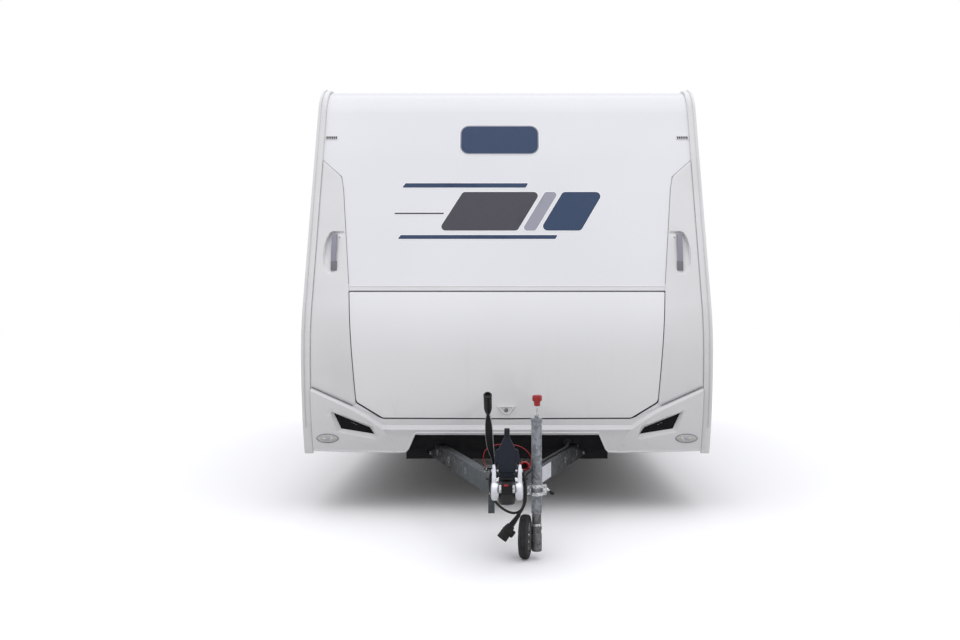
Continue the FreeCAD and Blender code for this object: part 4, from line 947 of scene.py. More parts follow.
for sgn in (1, -1):
    loop = CORNER_LOOP if sgn > 0 else flip(CORNER_LOOP)
    hf = corner_height
    nm = "right_corner_moulding" if sgn > 0 else "left_corner_moulding"
    edge_line = GRIP_EDGE if sgn > 0 else flip(GRIP_EDGE)
    area_ = GRIP_AREA if sgn > 0 else flip(GRIP_AREA)

    def base_under(x, z):
        return min(0.0003, corner_height(x, z) - 0.004)

    o = nose_sheet(nm, loop, hf, base_under, "moulded", "body", "corner_mouldings", creases=[edge_line],
                   step=0.0085, zstep=0.0105, smooth=40)

# hand grips: a bowed bar with feet and a darker grey block at its lower end
for sgn in (-1, 1):
    b = Build("hand_grip_left" if sgn > 0 else "hand_grip_right", ["lilac", "grip_grey"], "body", "grey_plastic", "grab_handles", bevel=0.0012)
    path, scales = [], []
    for k in range(15):
        t = k / 14
        z = mix(1.3665, 1.5775, t)
        bow = math.sin(math.pi * t) ** 0.6
        off = mix(0.0035, 0.0125, bow)
        x = sgn * mix(0.9895, 0.9985, t) + sgn * 0.002 * math.sin(math.pi * t)
        path.append(nose_point(x, z, off))
        scales.append(1.0 + 0.14 * (1 - t))
    sec = [(-a, c) for a, c in round_rect(0.0285, 0.0105, 0.0048, 4)]
    b.sweep(path, sec, 0, up=(0, -1, 0), scales=scales)
    for z in (1.372, 1.571):
        x = sgn * (0.990 if z < 1.5 else 0.9983)
        b.sweep([nose_point(x, z, -0.0215), nose_point(x, z, 0.006)], round_rect(0.030, 0.018, 0.006, 3), 0, up=(0, 0, 1))
    b.sweep([nose_point(sgn * 0.9893, 1.3650, 0.0058), nose_point(sgn * 0.9898, 1.376, 0.0085), nose_point(sgn * 0.9903, 1.395, 0.0112),
             nose_point(sgn * 0.991, 1.412, 0.0128), nose_point(sgn * 0.9915, 1.4165, 0.0125)],
            round_rect(0.0355, 0.0125, 0.005, 3), 1, up=(0, -1, 0))
    # screw head in the recess beside the bar
    b.lathe([(0, 0.0042), (0.0016, 0.0042), (0.0022, 0.0030), (0.0008, 0.0022)], nose_point(sgn * 0.968, 1.5585, corner_height(0.968, 1.5585) - 0.0006),
            (0, -0.9367, 0.3502), 1, 16)
    b.done()

# small louvres high on both corners
for sgn in (-1, 1):
    b = Build("louvre_left" if sgn > 0 else "louvre_right", ["moulded", "slot_shade"], "body", "trim_white", "front_trims")
    # painted shade: dark plates between the slats stand for the shade inside the vent openings
    for i in range(6):
        x0 = sgn * (1.0270 + 0.0110 * i)
        x1 = x0 + sgn * 0.0070
        ring = []
        for o_ in (0.0008, 0.0020):
            ring.append([nose_point(x0, 2.1715, o_), nose_point(x1, 2.1715, o_), nose_point(x1, 2.1845, o_), nose_point(x0, 2.1845, o_)])
        b.loft(ring, 1)
    frame_out = [(sgn * 1.0235, 2.1670), (sgn * 1.0925, 2.1670), (sgn * 1.0925, 2.1885), (sgn * 1.0235, 2.1885)]
    frame_in = [(sgn * 1.0262, 2.1702), (sgn * 1.0900, 2.1702), (sgn * 1.0900, 2.1858), (sgn * 1.0262, 2.1858)]
    verts = [nose_point(x, z, 0.0002) for x, z in frame_out] + [nose_point(x, z, 0.0036) for x, z in frame_out]
    verts += [nose_point(x, z, 0.0036) for x, z in frame_in] + [nose_point(x, z, 0.0008) for x, z in frame_in]
    fs = []
    for k in range(4):
        k2 = (k + 1) % 4
        for r0 in (0, 4, 8):
            fs.append((r0 + k, r0 + k2, r0 + 4 + k2, r0 + 4 + k))
    fs += [(3, 2, 1, 0), (12, 13, 14, 15)]
    b.faces(verts, fs, 0)
    for i in range(5):
        x0 = sgn * (1.0345 + 0.0110 * i)
        ring = [[nose_point(x0, 2.1705, o_), nose_point(x0 + sgn * 0.0030, 2.1705, o_), nose_point(x0 + sgn * 0.0030, 2.1855, o_), nose_point(x0, 2.1855, o_)]
                for o_ in (0.0006, 0.0032)]
        b.loft(ring, 0)
    b.done()

# hinge profile above the locker lid: two beads and a flat web
b = Build("lid_hinge_profile", ["moulded", "seal"], "body", "trim_white", "front_trims", bevel=0.0006)
sec = [(1.2487, 0.0004), (1.2487, 0.0042), (1.2502, 0.0058), (1.2530, 0.0060), (1.2548, 0.0046), (1.2560, 0.0030), (1.2700, 0.0030),
       (1.2712, 0.0044), (1.2728, 0.0052), (1.2752, 0.0050), (1.2775, 0.0034), (1.2785, 0.0004)]
b.loft([[nose_point(x, z, o_) for z, o_ in sec] for x in (-0.892, 0.892)], 0)
b.loft([[nose_point(x, z, o_) for z, o_ in ((1.2562, 0.0026), (1.2562, 0.0036), (1.2698, 0.0036), (1.2698, 0.0026))] for x in (-0.8915, 0.8915)], 0)
b.done()

# ----------------------------------------------------------------- bumper
BUMPER = [(-1.097, 0.343), (-0.629, 0.331), (-0.569, 0.333), (-0.557, 0.356), (-0.515, 0.446), (0.515, 0.446), (0.557, 0.356),
          (0.569, 0.333), (0.629, 0.331), (1.097, 0.343), (1.097, 0.704), (0.860, 0.595), (0.698, 0.526), (0.0, 0.523),
          (-0.698, 0.526), (-0.860, 0.595), (-1.097, 0.704)]
BUMPER_LOOP = rounded_loop(BUMPER, [0.006, 0.01, 0.016, 0.02, 0.035, 0.035, 0.02, 0.016, 0.01, 0.006, 0.006, 0.05, 0.05, 0, 0.05, 0.05, 0.006], 5)
NICHE = [(-0.996, 0.577), (-0.756, 0.485), (-0.728, 0.405), (-0.956, 0.450)]
INSERT = [(-0.974, 0.562), (-0.772, 0.477), (-0.748, 0.438), (-0.936, 0.470)]
CREST = [(-1.097, 0.688), (-0.864, 0.577), (-0.790, 0.531), (-0.700, 0.466), (0.700, 0.466), (0.790, 0.531), (0.864, 0.577), (1.097, 0.688)]
SHELF = [(-1.097, 0.7035), (-0.862, 0.5945), (-0.785, 0.549), (-0.697, 0.491), (0.697, 0.491), (0.785, 0.549), (0.862, 0.5945), (1.097, 0.7035)]
FLANK = [(-0.700, 0.466), (-0.674, 0.418), (-0.652, 0.368), (-0.640, 0.3313)]
FLANK_IN = [(-0.684, 0.464), (-0.657, 0.416), (-0.635, 0.367), (-0.624, 0.3313)]


def line_at(path, x):
    x = -abs(x)
    for (x0, z0), (x1, z1) in zip(path, path[1:]):
        if x0 <= x <= x1:
            return z0 + (z1 - z0) * (x - x0) / (x1 - x0)
    return path[0][1]


def flank_x(path, z):
    """x of the flank crease at a height."""
    for (x0, z0), (x1, z1) in zip(path, path[1:]):
        if z1 <= z <= z0:
            return x0 + (x1 - x0) * (z0 - z) / (z0 - z1)
    return path[-1][0] if z < path[-1][1] else path[0][0]


def bumper_height(x, z):
    ax = -abs(x)
    zc, zs = line_at(CREST, x), line_at(SHELF, x)
    if inside((ax, z), INSERT):
        return 0.0055
    if inside((ax, z), NICHE):
        d = edge_distance((ax, z), NICHE)
        di = edge_distance((ax, z), INSERT)
        return mix(0.0245, 0.0055, d / (d + di))
    if z >= zs:
        return 0.0125
    if z >= zc:
        return mix(0.0298, 0.0125, (z - zc) / max(1e-4, zs - zc))
    fx, fi = flank_x(FLANK, z), flank_x(FLANK_IN, z)
    field = 0.0215 + 0.0083 * smooth_step(0.34, zc, z) ** 0.8
    inner = 0.0165 + 0.004 * smooth_step(0.33, 0.44, z)
    if ax <= fx:
        return field
    if ax <= fi:
        return mix(field, inner, (ax - fx) / (fi - fx))
    if z > 0.430:
        return mix(inner, 0.0290, smooth_step(0.430, 0.466, z))
    return inner


def sym(path):
    return [(-x, z) for x, z in path]


bumper = nose_sheet("front_bumper_shell", BUMPER_LOOP, bumper_height, 0.001, "moulded", "body", "front_bumper",
                    creases=[CREST, SHELF[1:-1], FLANK, FLANK_IN, sym(FLANK), sym(FLANK_IN), NICHE + NICHE[:1], INSERT + INSERT[:1],
                             sym(NICHE + NICHE[:1]), sym(INSERT + INSERT[:1])],
                    bare=[NICHE, flip(NICHE)], step=0.020, zstep=0.016, smooth=14, bevel=0.0022)

# dark expanded-mesh infill in both niches
for sgn in (-1, 1):
    b = Build("bumper_mesh_left" if sgn > 0 else "bumper_mesh_right", ["board_black", "black"], "body", "black_plastic", "bumper_inserts")
    ins = [(sgn * -x, z) for x, z in INSERT]
    cx, cz = sum(p[0] for p in ins) / 4, sum(p[1] for p in ins) / 4
    small = [(cx + (x - cx) * 0.985, cz + (z - cz) * 0.97) for x, z in ins]
    b.loft([[nose_point(x, z, o_) for x, z in small] for o_ in (0.0050, 0.0064)], 0)
    pitch = 0.0115
    for row in range(16):
        for col in range(26):
            x = min(p[0] for p in ins) + pitch * (col + (0.5 if row % 2 else 0))
            z = 0.440 + pitch * 0.80 * row
            if not inside((x, z), small) or edge_distance((x, z), small) < 0.0062:
                continue
            n = 6
            outer = [(x + 0.0066 * math.sin(2 * math.pi * k / n), z + 0.0062 * math.cos(2 * math.pi * k / n)) for k in range(n)]
            inner = [(x + 0.0050 * math.sin(2 * math.pi * k / n), z + 0.0047 * math.cos(2 * math.pi * k / n)) for k in range(n)]
            v = [nose_point(px, pz, 0.0060) for px, pz in outer] + [nose_point(px, pz, 0.0094) for px, pz in outer]
            v += [nose_point(px, pz, 0.0094) for px, pz in inner] + [nose_point(px, pz, 0.0060) for px, pz in inner]
            fs = []
            for k in range(n):
                k2 = (k + 1) % n
                for r0 in (0, n, 2 * n, 3 * n):
                    r1 = (r0 + n) % (4 * n)
                    fs.append((r0 + k, r0 + k2, r1 + k2, r1 + k))
            b.faces(v, fs, 1)
    b.done()

# front marker lamps: dark rim, bright dish with ribs, clear domed lens
for sgn in (-1, 1):
    side_name = "left" if sgn > 0 else "right"
    cx, cz = sgn * 1.0120, 0.4145

    def almond(hw, hh, n=36):
        pts = []
        for k in range(n):
            a = 2 * math.pi * k / n
            c, s = math.cos(a), math.sin(a)
            pts.append((cx + hw * c, cz + hh * math.copysign(abs(s) ** 1.15, s)))
        return pts

    def rim_point(p, o_):
        return nose_point(p[0], p[1], bumper_height(p[0], p[1]) + o_)

    b = Build("marker_bezel_" + side_name, ["lilac", "dish_white", "chrome"], "body", "lamp_lens", "front_lamps")
    A, B2, C2 = almond(0.0640, 0.0276), almond(0.0604, 0.0243), almond(0.0585, 0.0228)
    b.loft([[rim_point(p, -0.002) for p in A], [rim_point(p, 0.0022) for p in A], [rim_point(p, 0.0030) for p in B2],
            [rim_point(p, -0.001) for p in C2]], 0)
    dish = []
    for f, o_ in ((1.0, 0.0020), (0.85, -0.0005), (0.6, -0.0016), (0.35, -0.0020), (0.12, -0.0022)):
        dish.append([rim_point(p, o_) for p in almond(0.0585 * f, 0.0228 * f)])
    b.loft([[v for v in dish[0]]] + dish[1:] + [[v + Vector((0, 0.001, 0)) for v in dish[-1]]], 1)
    for k, dx in enumerate((-0.030, -0.015, 0.004, 0.022)):
        c0 = nose_point(cx + dx, cz - 0.001, bumper_height(cx, cz) - 0.001)
        b.lathe([(0.0, 0.0085 - 0.001 * k), (0.0022, 0.0072 - 0.001 * k), (0.0030, 0.0040), (0.0012, 0.0)], c0, (0, -1, 0), 1 if k % 2 else 2, 18)
    b.done()
    b = Build("marker_lens_" + side_name, ["marker_lens", "cell_blue", "cell_cream"], "body", "lamp_lens", "front_lamps")
    rings = []
    for f, o_ in ((1.0, 0.0024), (0.97, 0.0044), (0.88, 0.0062), (0.7, 0.0076), (0.45, 0.0086), (0.2, 0.0090)):
        rings.append([rim_point(p, o_) for p in almond(0.0592 * f, 0.0236 * f)])
    low = [[v + Vector((0, 0.0012, 0)) for v in r] for r in reversed(rings)]
    seq = [[v + Vector((0, 0.0012, 0)) for v in r] for r in rings]
    n_ = len(rings[0])
    verts = [v for r in rings for v in r] + [v for r in seq for v in r]
    m_ = len(rings)
    fs = []
    for i in range(m_ - 1):
        for k in range(n_):
            k2 = (k + 1) % n_
            fs.append((i * n_ + k, i * n_ + k2, (i + 1) * n_ + k2, (i + 1) * n_ + k))
            j = i + m_
            fs.append((j * n_ + k2, j * n_ + k, (j + 1) * n_ + k, (j + 1) * n_ + k2))
    fs.append(tuple(range((m_ - 1) * n_, m_ * n_)))
    fs.append(tuple(reversed(range((2 * m_ - 1) * n_, 2 * m_ * n_))))
    for k in range(n_):
        k2 = (k + 1) % n_
        fs.append((k2, k, m_ * n_ + k, m_ * n_ + k2))
    b.faces(verts, fs, 0)
    # reflector cells moulded into the lens
    for dx, dz, r_, mi in ((-0.004, -0.0005, 0.0085, 1), (0.0165, 0.0035, 0.0052, 2), (-0.0235, 0.0045, 0.0055, 2), (0.010, -0.0075, 0.0040, 1), (-0.014, -0.0075, 0.0036, 2)):
        c0 = nose_point(cx + sgn * dx, cz + dz, bumper_height(cx, cz) + 0.0072)
        b.lathe([(0.0, r_), (0.0016, r_ * 0.9), (0.0024, r_ * 0.5), (0.0027, 0.0)], c0, (0, -1, 0), mi, 20)
    b.done()

# ------------------------------------------------------------- locker lid
LID = [(-0.893, 1.241), (-0.845, 0.625), (-0.6985, 0.533), (0.0, 0.530), (0.6985, 0.533), (0.845, 0.625), (0.893, 1.241)]
LID_LOOP = rounded_loop(LID, [0.006, 0.030, 0.030, 0, 0.030, 0.030, 0.006], 6)


def lid_height(x, z):
    d = edge_distance((x, z), LID_LOOP)
    crown = 0.0012 * (1 - (x / 0.9) ** 2)
    rim = min(1.0, d / 0.006)
    return 0.0030 + crown * 0.5 + 0.0020 * math.sqrt(max(0.0, 1 - (1 - rim) ** 2))


lid_shell = nose_sheet("lid_shell", LID_LOOP, lid_height, -0.0250, "lid", "lid", "locker_lid", step=0.045, zstep=0.022,
                       smooth=40, bevel=0.0)

# lock cup on the lid: chamfered trapezoid, dished, with its barrel
b = Build("lid_lock", ["moulded", "seal", "zinc_bright"], "lid", "trim_white", bevel=0.0012)
OUT = rounded_loop([(-0.058, 0.6005), (-0.053, 0.5930), (-0.0225, 0.5500), (0.0165, 0.5500), (0.0450, 0.5930), (0.0500, 0.6005)], [0.002, 0.006, 0.014, 0.014, 0.006, 0.002], 4)
MID = [(mix(-0.004, x, 0.86), mix(0.580, z, 0.84)) for x, z in OUT]
INN = [(mix(-0.004, x, 0.70), mix(0.580, z, 0.66)) for x, z in OUT]
BOT = [(mix(-0.004, x, 0.56), mix(0.580, z, 0.52)) for x, z in OUT]
rings = [[nose_point(x, z, 0.0030) for x, z in OUT], [nose_point(x, z, 0.0070) for x, z in OUT], [nose_point(x, z, 0.0165) for x, z in MID],
         [nose_point(x, z, 0.0160) for x, z in INN], [nose_point(x, z, 0.0095) for x, z in BOT]]
b.loft(rings, 0)
c0 = nose_point(-0.004, 0.577, 0.0085)
b.lathe([(0.0, 0.0098), (0.0062, 0.0098), (0.0074, 0.0088), (0.0074, 0.0072), (0.0050, 0.0070), (0.0050, 0.0)], c0, (0, -1, -0.19), 1, 26)
b.lathe([(0.0, 0.0060), (0.0060, 0.0058), (0.0066, 0.0048), (0.0066, 0.0)], c0, (0, -1, -0.19), 2, 20)
k0 = c0 + Vector((0, -0.0066, -0.0012))
b.box((k0.x - 0.0009, k0.y - 0.0006, k0.z - 0.0036), (k0.x + 0.0009, k0.y + 0.002, k0.z + 0.0036), 1)
b.done()

# rubber seal round the mouth of the locker, seen in the gap
MOUTH = [(-0.898, 1.246), (-0.850, 0.622), (-0.701, 0.527), (0.0, 0.524), (0.701, 0.527), (0.850, 0.622), (0.898, 1.246)]
SEAL_OUT = rounded_loop(MOUTH, [0.008, 0.034, 0.034, 0, 0.034, 0.034, 0.008], 6)
SEAL_IN = rounded_loop([(x * 0.985, 0.86 + (z - 0.86) * 0.97) for x, z in MOUTH], [0.008, 0.034, 0.034, 0, 0.034, 0.034, 0.008], 6)
b = Build("locker_seal", ["seal"], "body", "soft_rubber")
v = []
for lp, o_ in ((SEAL_OUT, -0.0275), (SEAL_OUT, -0.0255), (SEAL_IN, -0.0255), (SEAL_IN, -0.0285)):
    v.append([nose_point(x, z, o_) for x, z in lp])
b.loft(v + [v[0]], 0, caps=False)
bmesh.ops.remove_doubles(b.bm, verts=b.bm.verts, dist=1e-6)
b.done()

# rubber lip of the seal standing in the shut gap round the lid's two sides and foot; it stands out over the wall's
# edge, so it is partly the seal and partly painted shade that widens the dark shut line
lip = []
n_ = len(SEAL_OUT)
for k in range(n_):
    (x0, z0), (x1, z1), (x2, z2) = SEAL_OUT[k - 1], SEAL_OUT[k], SEAL_OUT[(k + 1) % n_]
    tx, tz = x2 - x0, z2 - z0
    ln = math.hypot(tx, tz) or 1.0
    nx, nz = tz / ln, -tx / ln
    if nx * x1 + nz * (z1 - 0.86) < 0:
        nx, nz = -nx, -nz
    if z1 > 1.236:
        continue
    lip.append((x1, z1, nx, nz))
cut = max(range(len(lip)), key=lambda i: math.hypot(lip[i][0] - lip[i - 1][0], lip[i][1] - lip[i - 1][1]))
lip = lip[cut:] + lip[:cut]
b = Build("locker_seal_lip_and_gap_shade", ["seal"], "body", "soft_rubber")
b.loft([[nose_point(x + nx * a_, z + nz * a_, h_) for a_, h_ in ((-0.0022, -0.012), (-0.0022, 0.0006), (0.0008, 0.0017), (0.0036, 0.0009), (0.0036, -0.0004), (0.0010, -0.0006), (0.0, -0.012))]
        for x, z, nx, nz in lip], 0)
b.done()

# inner frame and ribs of the lid, seen when it is open
b = Build("lid_inner_frame", ["black", "zinc_bright"], "lid", "black_plastic", bevel=0.001)
RI = [(x * 0.93, 0.86 + (z - 0.86) * 0.90) for x, z in LID]
RO = [(x * 0.965, 0.86 + (z - 0.86) * 0.95) for x, z in LID]
v = [[nose_point(x, z, o_) for x, z in lp] for lp, o_ in ((RO, -0.0255), (RO, -0.0285), (RI, -0.0285), (RI, -0.0255))]
b.loft(v + [v[0]], 0, caps=False)
bmesh.ops.remove_doubles(b.bm, verts=b.bm.verts, dist=1e-6)
for x in (-0.45, 0.0, 0.45):
    rib = []
    for k in range(13):
        z = mix(0.585, 1.175, k / 12)
        rib.append([nose_point(x - 0.018, z, -0.0252), nose_point(x + 0.018, z, -0.0252), nose_point(x + 0.012, z, -0.0300), nose_point(x - 0.012, z, -0.0300)])
    b.loft(rib, 0)
b.done()

# --------------------------------------------------------------- coupling


def mm(*p):
    return Vector(p) * MM


def circ_pts(cx, cy, r, a0, a1, n):
    return [(cx + r * math.cos(math.radians(a0 + (a1 - a0) * k / n)), cy + r * math.sin(math.radians(a0 + (a1 - a0) * k / n))) for k in range(n + 1)]


BX, BY = 0.0, -3.122
b = Build("coupling_body", ["steel_black", "zinc_bright", "red", "satin_black", "slate"], "coupling", "cast_silver", "coupling_head", bevel=0.0022, segs=3)
# ball cup: closed shell round the socket
b.lathe([(0.0, 0.0), (0.0, 0.016), (0.003, 0.024), (0.010, 0.031), (0.019, 0.0345), (0.060, 0.0355), (0.086, 0.0350), (0.093, 0.0330), (0.096, 0.0300),
         (0.093, 0.0252), (0.046, 0.0252), (0.030, 0.0150), (0.026, 0.0)],
        (BX, BY, 0.4225), (0, 0, -1), 0, 48)
# neck block behind the ball, drawn in on both sides
sec0 = [(-34, 362), (34, 362), (36, 372), (36, 412), (28, 428), (-28, 428), (-36, 412), (-36, 372)]
rings = []
for y, kx, dz in ((-3098, 0.80, 0), (-3080, 1.0, 0), (-3010, 1.0, 0), (-2985, 0.9, 0), (-2955, 0.82, 0), (-2944, 0.80, 0)):
    rings.append([mm(x * kx, y, z + dz) for x, z in sec0])
b.loft(rings, 0)
# shaft towards the bellows
b.lathe([(0, 0.0248), (0.388, 0.0248), (0.390, 0.0235), (0.390, 0.0202), (0.05, 0.0202), (0.05, 0.0)], mm(0, -2945, 415), (0, 1, 0), 1, 32)
# clamp bolts through the neck
for y in (-3004, -2962):
    b.lathe([(-0.047, 0.0), (-0.047, 0.0085), (-0.041, 0.0095), (-0.040, 0.0115), (0.040, 0.0115), (0.041, 0.0095), (0.047, 0.0095), (0.047, 0.0)],
            mm(0, y, 398), (1, 0, 0), 1, 6)
# cover over the ball with its chamfered visor and the wear window
vis = [(-34, -3120), (-33, -3148), (-24, -3162), (24, -3162), (33, -3148), (34, -3120), (28, -3062), (-28, -3062)]
b.loft([[mm(x * 1.0, y, 372) for x, y in vis], [mm(x, y, 411) for x, y in vis], [mm(x * 0.86, mix(-3100, y, 0.88), 422.5) for x, y in vis]], 3)
# cover between body and handle
b.prism(rounded_loop([(-0.033, 0.4180), (0.033, 0.4180), (0.034, 0.4425), (-0.034, 0.4425)], [0.004] * 4, 3), "Y", -3.0720, -3.0500, 4)
b.prism(rounded_loop([(-0.0135, 0.4075), (0.0045, 0.4075), (0.0045, 0.4145), (-0.0135, 0.4145)], [0.002] * 4, 2), "Y", -3.1672, -3.1580, 2)
for x in (-0.0285, 0.0285):
    b.sweep([mm(x * 1000, -3163.0, 380), mm(x * 1000, -3164.8, 392), mm(x * 1000, -3164.0, 404), mm(x * 1000, -3160, 412)], round_rect(0.0105, 0.004, 0.0015, 2), 1, up=(0, -1, 0))
coupling_body = b.done()

b = Build("friction_cheeks", ["cast", "steel_black", "zinc_bright"], "coupling", "cast_silver", "coupling_head", bevel=0.0016, segs=3)
for sgn in (-1, 1):
    # domed disc at the foot of the arm
    b.lathe([(0.0, 0.0), (0.0, 0.0350), (0.004, 0.0385), (0.012, 0.0400), (0.022, 0.0400), (0.028, 0.0385), (0.0325, 0.0330), (0.0345, 0.0240), (0.0348, 0.0)],
            (sgn * 0.033, -3.112, 0.378), (sgn, 0, 0), 0, 44)
    b.lathe([(0.0, 0.0125), (0.0040, 0.0125), (0.0052, 0.0105), (0.0052, 0.0)], (sgn * 0.0622, -3.112, 0.378), (sgn, 0, 0), 2, 6)
    # arm, narrowing upwards
    arm = []
    for z, y0, y1, x0, x1 in ((378, -3111, -3052, 45, 63.5), (404, -3110, -3050, 45.5, 64), (436, -3100, -3048, 46, 63.5), (462, -3088, -3048, 47.5, 62.5), (476, -3078, -3049, 49, 61.5), (481, -3072, -3052, 51, 60)):
        arm.append([mm(sgn * x0, y0, z), mm(sgn * (x0 + 2), y0 - 2 if y0 > -3100 else y0, z), mm(sgn * x1, y0 + 5, z), mm(sgn * x1, y1, z), mm(sgn * x0, y1, z)])
    b.loft(arm, 0)
    b.lathe([(-0.003, 0.0), (-0.003, 0.0075), (0.003, 0.0075), (0.0045, 0.0060), (0.0045, 0.0)], (sgn * 0.0625, -3.060, 0.454), (sgn, 0, 0), 2, 20)
    # inner lug that joins arm and body
    b.prism([(-3.126, 0.380), (-3.094, 0.380), (-3.094, 0.416), (-3.126, 0.416)], "X", sgn * 0.0385, sgn * 0.050, 1)
friction_cheeks = b.done()

# stabiliser handle: neck, raised middle, set-back wings, pin
b = Build("stabiliser_grip", ["slate", "zinc_bright", "satin_black"], "stabiliser", "slate_plastic", "stabiliser_handle", bevel=0.0016, segs=3)
MIDDLE = rounded_loop([(-11.5, 636), (11.5, 636), (12.5, 596), (33.0, 556), (36.0, 538), (36.0, 452), (29.0, 444.5), (-29.0, 444.5), (-36.0, 452), (-36.0, 538), (-33.0, 556), (-12.5, 596)],
                      [4, 4, 18, 14, 6, 3, 3, 3, 3, 6, 14, 18], 4)
b.loft([[mm(x, -3051.5, z) for x, z in MIDDLE], [mm(x, -3065.5, z) for x, z in MIDDLE],
        [mm(x * 0.90, -3069.0, mix(535, z, 0.965)) for x, z in MIDDLE]], 0)
WING = rounded_loop([(-33, 549), (-46.0, 546), (-49.5, 538), (-54, 505), (-54, 492), (-49, 488), (-33, 486)], [0, 5, 6, 10, 4, 3, 0], 4)
for w in (WING, [(-x, z) for x, z in reversed(WING)]):
    b.loft([[mm(x, -3053, z) for x, z in w], [mm(x, -3061.5, z) for x, z in w], [mm(mix(38 if w is not WING else -38, x, 0.9), -3064.0, mix(516, z, 0.93)) for x, z in w]], 0)
# thumb rest ribs at the top
for k in range(5):
    z = 626 - 6.5 * k
    b.box(mm(-8.5, -3070.6, z - 1.2), mm(8.5, -3068.0, z + 1.2), 2)
b.cyl(mm(-45, -3060, 454), mm(45, -3060, 454), 0.005, 1, 20)
stabiliser_grip = b.done()

# ------------------------------------------------------- handbrake lever
LEAN = math.radians(42)
PIV = (-2.660, 0.402)


def lever(s, w, x):
    """Point s up the lever and w behind its middle line, millimetres."""
    return Vector((x * MM, PIV[0] + (-s * math.sin(LEAN) + w * math.cos(LEAN)) * MM, PIV[1] + (s * math.cos(LEAN) + w * math.sin(LEAN)) * MM))


b = Build("brake_lever", ["satin_black", "zinc", "zinc_bright"], "handbrake", "black_plastic", "handbrake_lever", bevel=0.0012)
# channel-section blade: web in front, flanges behind, bright worn edges
stations = [(-14, -66, -55), (30, -68, -55.5), (80, -74, -57), (120, -85, -59), (170, -94, -61), (230, -98, -63), (300, -98.5, -66), (345, -96, -70), (372, -92, -76), (392, -90, -78)]
web, left, right = [], [], []
for s, x0, x1 in stations:
    t = 9.0 if s < 340 else 7.0
    web.append([lever(s, -t, x0 + 1.6), lever(s, -t, x1 - 1.6), lever(s, -t + 3.0, x1 - 1.6), lever(s, -t + 3.0, x0 + 1.6)])
    left.append([lever(s, -t - 0.8, x0), lever(s, -t - 0.8, x0 + 2.2), lever(s, t, x0 + 2.2), lever(s, t, x0)])
    right.append([lever(s, -t - 0.8, x1 - 2.2), lever(s, -t - 0.8, x1), lever(s, t, x1), lever(s, t, x1 - 2.2)])
b.loft(web, 0)
b.loft(left, 1)
b.loft(right, 1)
b.lathe([(-0.003, 0.0), (-0.003, 0.015), (0.012, 0.015), (0.014, 0.011), (0.014, 0.0)], lever(0, 0, -66), (1, 0, 0), 2, 24)
# quadrant teeth beside the pivot
b.loft([[lever(-14, -14, -58), lever(22, -16, -58), lever(40, 0, -58), lever(22, 16, -58), lever(-14, 14, -58)],
        [lever(-14, -14, -54.5), lever(22, -16, -54.5), lever(40, 0, -54.5), lever(22, 16, -54.5), lever(-14, 14, -54.5)]], 1)
brake_lever = b.done()

b = Build("brake_grip", ["satin_black", "board_black"], "handbrake", "black_plastic", "handbrake_lever", bevel=0.0010)
gd = (lever(520, 0, -84) - lever(380, 0, -84)).normalized()
prof = [(-0.004, 0.0), (-0.004, 0.0085), (0.002, 0.0110), (0.016, 0.0150), (0.030, 0.0172)]
h = 0.034
for k in range(7):
    prof += [(h, 0.0180), (h + 0.0065, 0.0180), (h + 0.0075, 0.0171), (h + 0.0095, 0.0171)]
    h += 0.0105
prof += [(0.1110, 0.0188), (0.1175, 0.0188), (0.1200, 0.0176), (0.1200, 0.0118), (0.1110, 0.0106), (0.1110, 0.0)]
b.lathe(prof, lever(380, 0, -84), gd, 0, 36)
brake_grip = b.done()

# ----------------------------------------------------------- jockey wheel
JX, JY = 0.136, -2.760
b = Build("jockey_outer_tube", ["zinc_tube", "zinc_bright", "seal"], "body", "galvanised", "jockey_tube", bevel=0.0008)
b.lathe([(0.210, 0.0213), (0.210, 0.0236), (0.2115, 0.0240), (0.640, 0.0240), (0.6425, 0.0232), (0.6425, 0.0213)], (JX, JY, 0.0), (0, 0, 1), 0, 48, closed=True)
b.lathe([(0.628, 0.0242), (0.628, 0.0258), (0.631, 0.0264), (0.6405, 0.0264), (0.6440, 0.0250), (0.6440, 0.0100), (0.6470, 0.0094), (0.6560, 0.0090), (0.6560, 0.0), (0.636, 0.0), (0.636, 0.0238)],
        (JX, JY, 0.0), (0, 0, 1), 0, 48)
# weld seam down the tube and rivets under the cap
b.sweep([(JX + 0.0190, JY - 0.0146, 0.215), (JX + 0.0190, JY - 0.0146, 0.42), (JX + 0.0190, JY - 0.0146, 0.626)], circle(0.0009, 6), 0, up=(1, 0, 0))
for a in (250, 70, 160, 340):
    ca, sa = math.cos(math.radians(a)), math.sin(math.radians(a))
    b.lathe([(-0.001, 0.0036), (0.0016, 0.0034), (0.0026, 0.0018), (0.0028, 0.0)], (JX + 0.0240 * ca, JY + 0.0240 * sa, 0.617), (ca, sa, 0), 1, 12)
b.done()

b = Build("jockey_winder", ["zinc_bright", "zinc"], "body", "galvanised", "jockey_crank", bevel=0.0007)
b.cyl((JX, JY, 0.6440), (JX, JY, 0.6620), 0.0062, 0, 20)
b.lathe([(0.0, 0.0105), (0.006, 0.0105), (0.0075, 0.0090), (0.0075, 0.0)], (JX, JY, 0.6560), (0, 0, 1), 0, 6)
arm_pts = [mm(136, -2760, 661), mm(136, -2772, 662), mm(136, -2800, 662.5), mm(136, -2822, 664), mm(136, -2829, 670), mm(136, -2830, 680), mm(136, -2830, 708)]
b.sweep(arm_pts, round_rect(0.0115, 0.0058, 0.0022, 3), 0, up=(1, 0, 0), scales=[1.25, 1.2, 1.0, 0.95, 0.92, 0.9, 0.88])
b.done()

b = Build("winder_knob", ["red"], "body", "red_plastic", "crank_knob", bevel=0.0008)


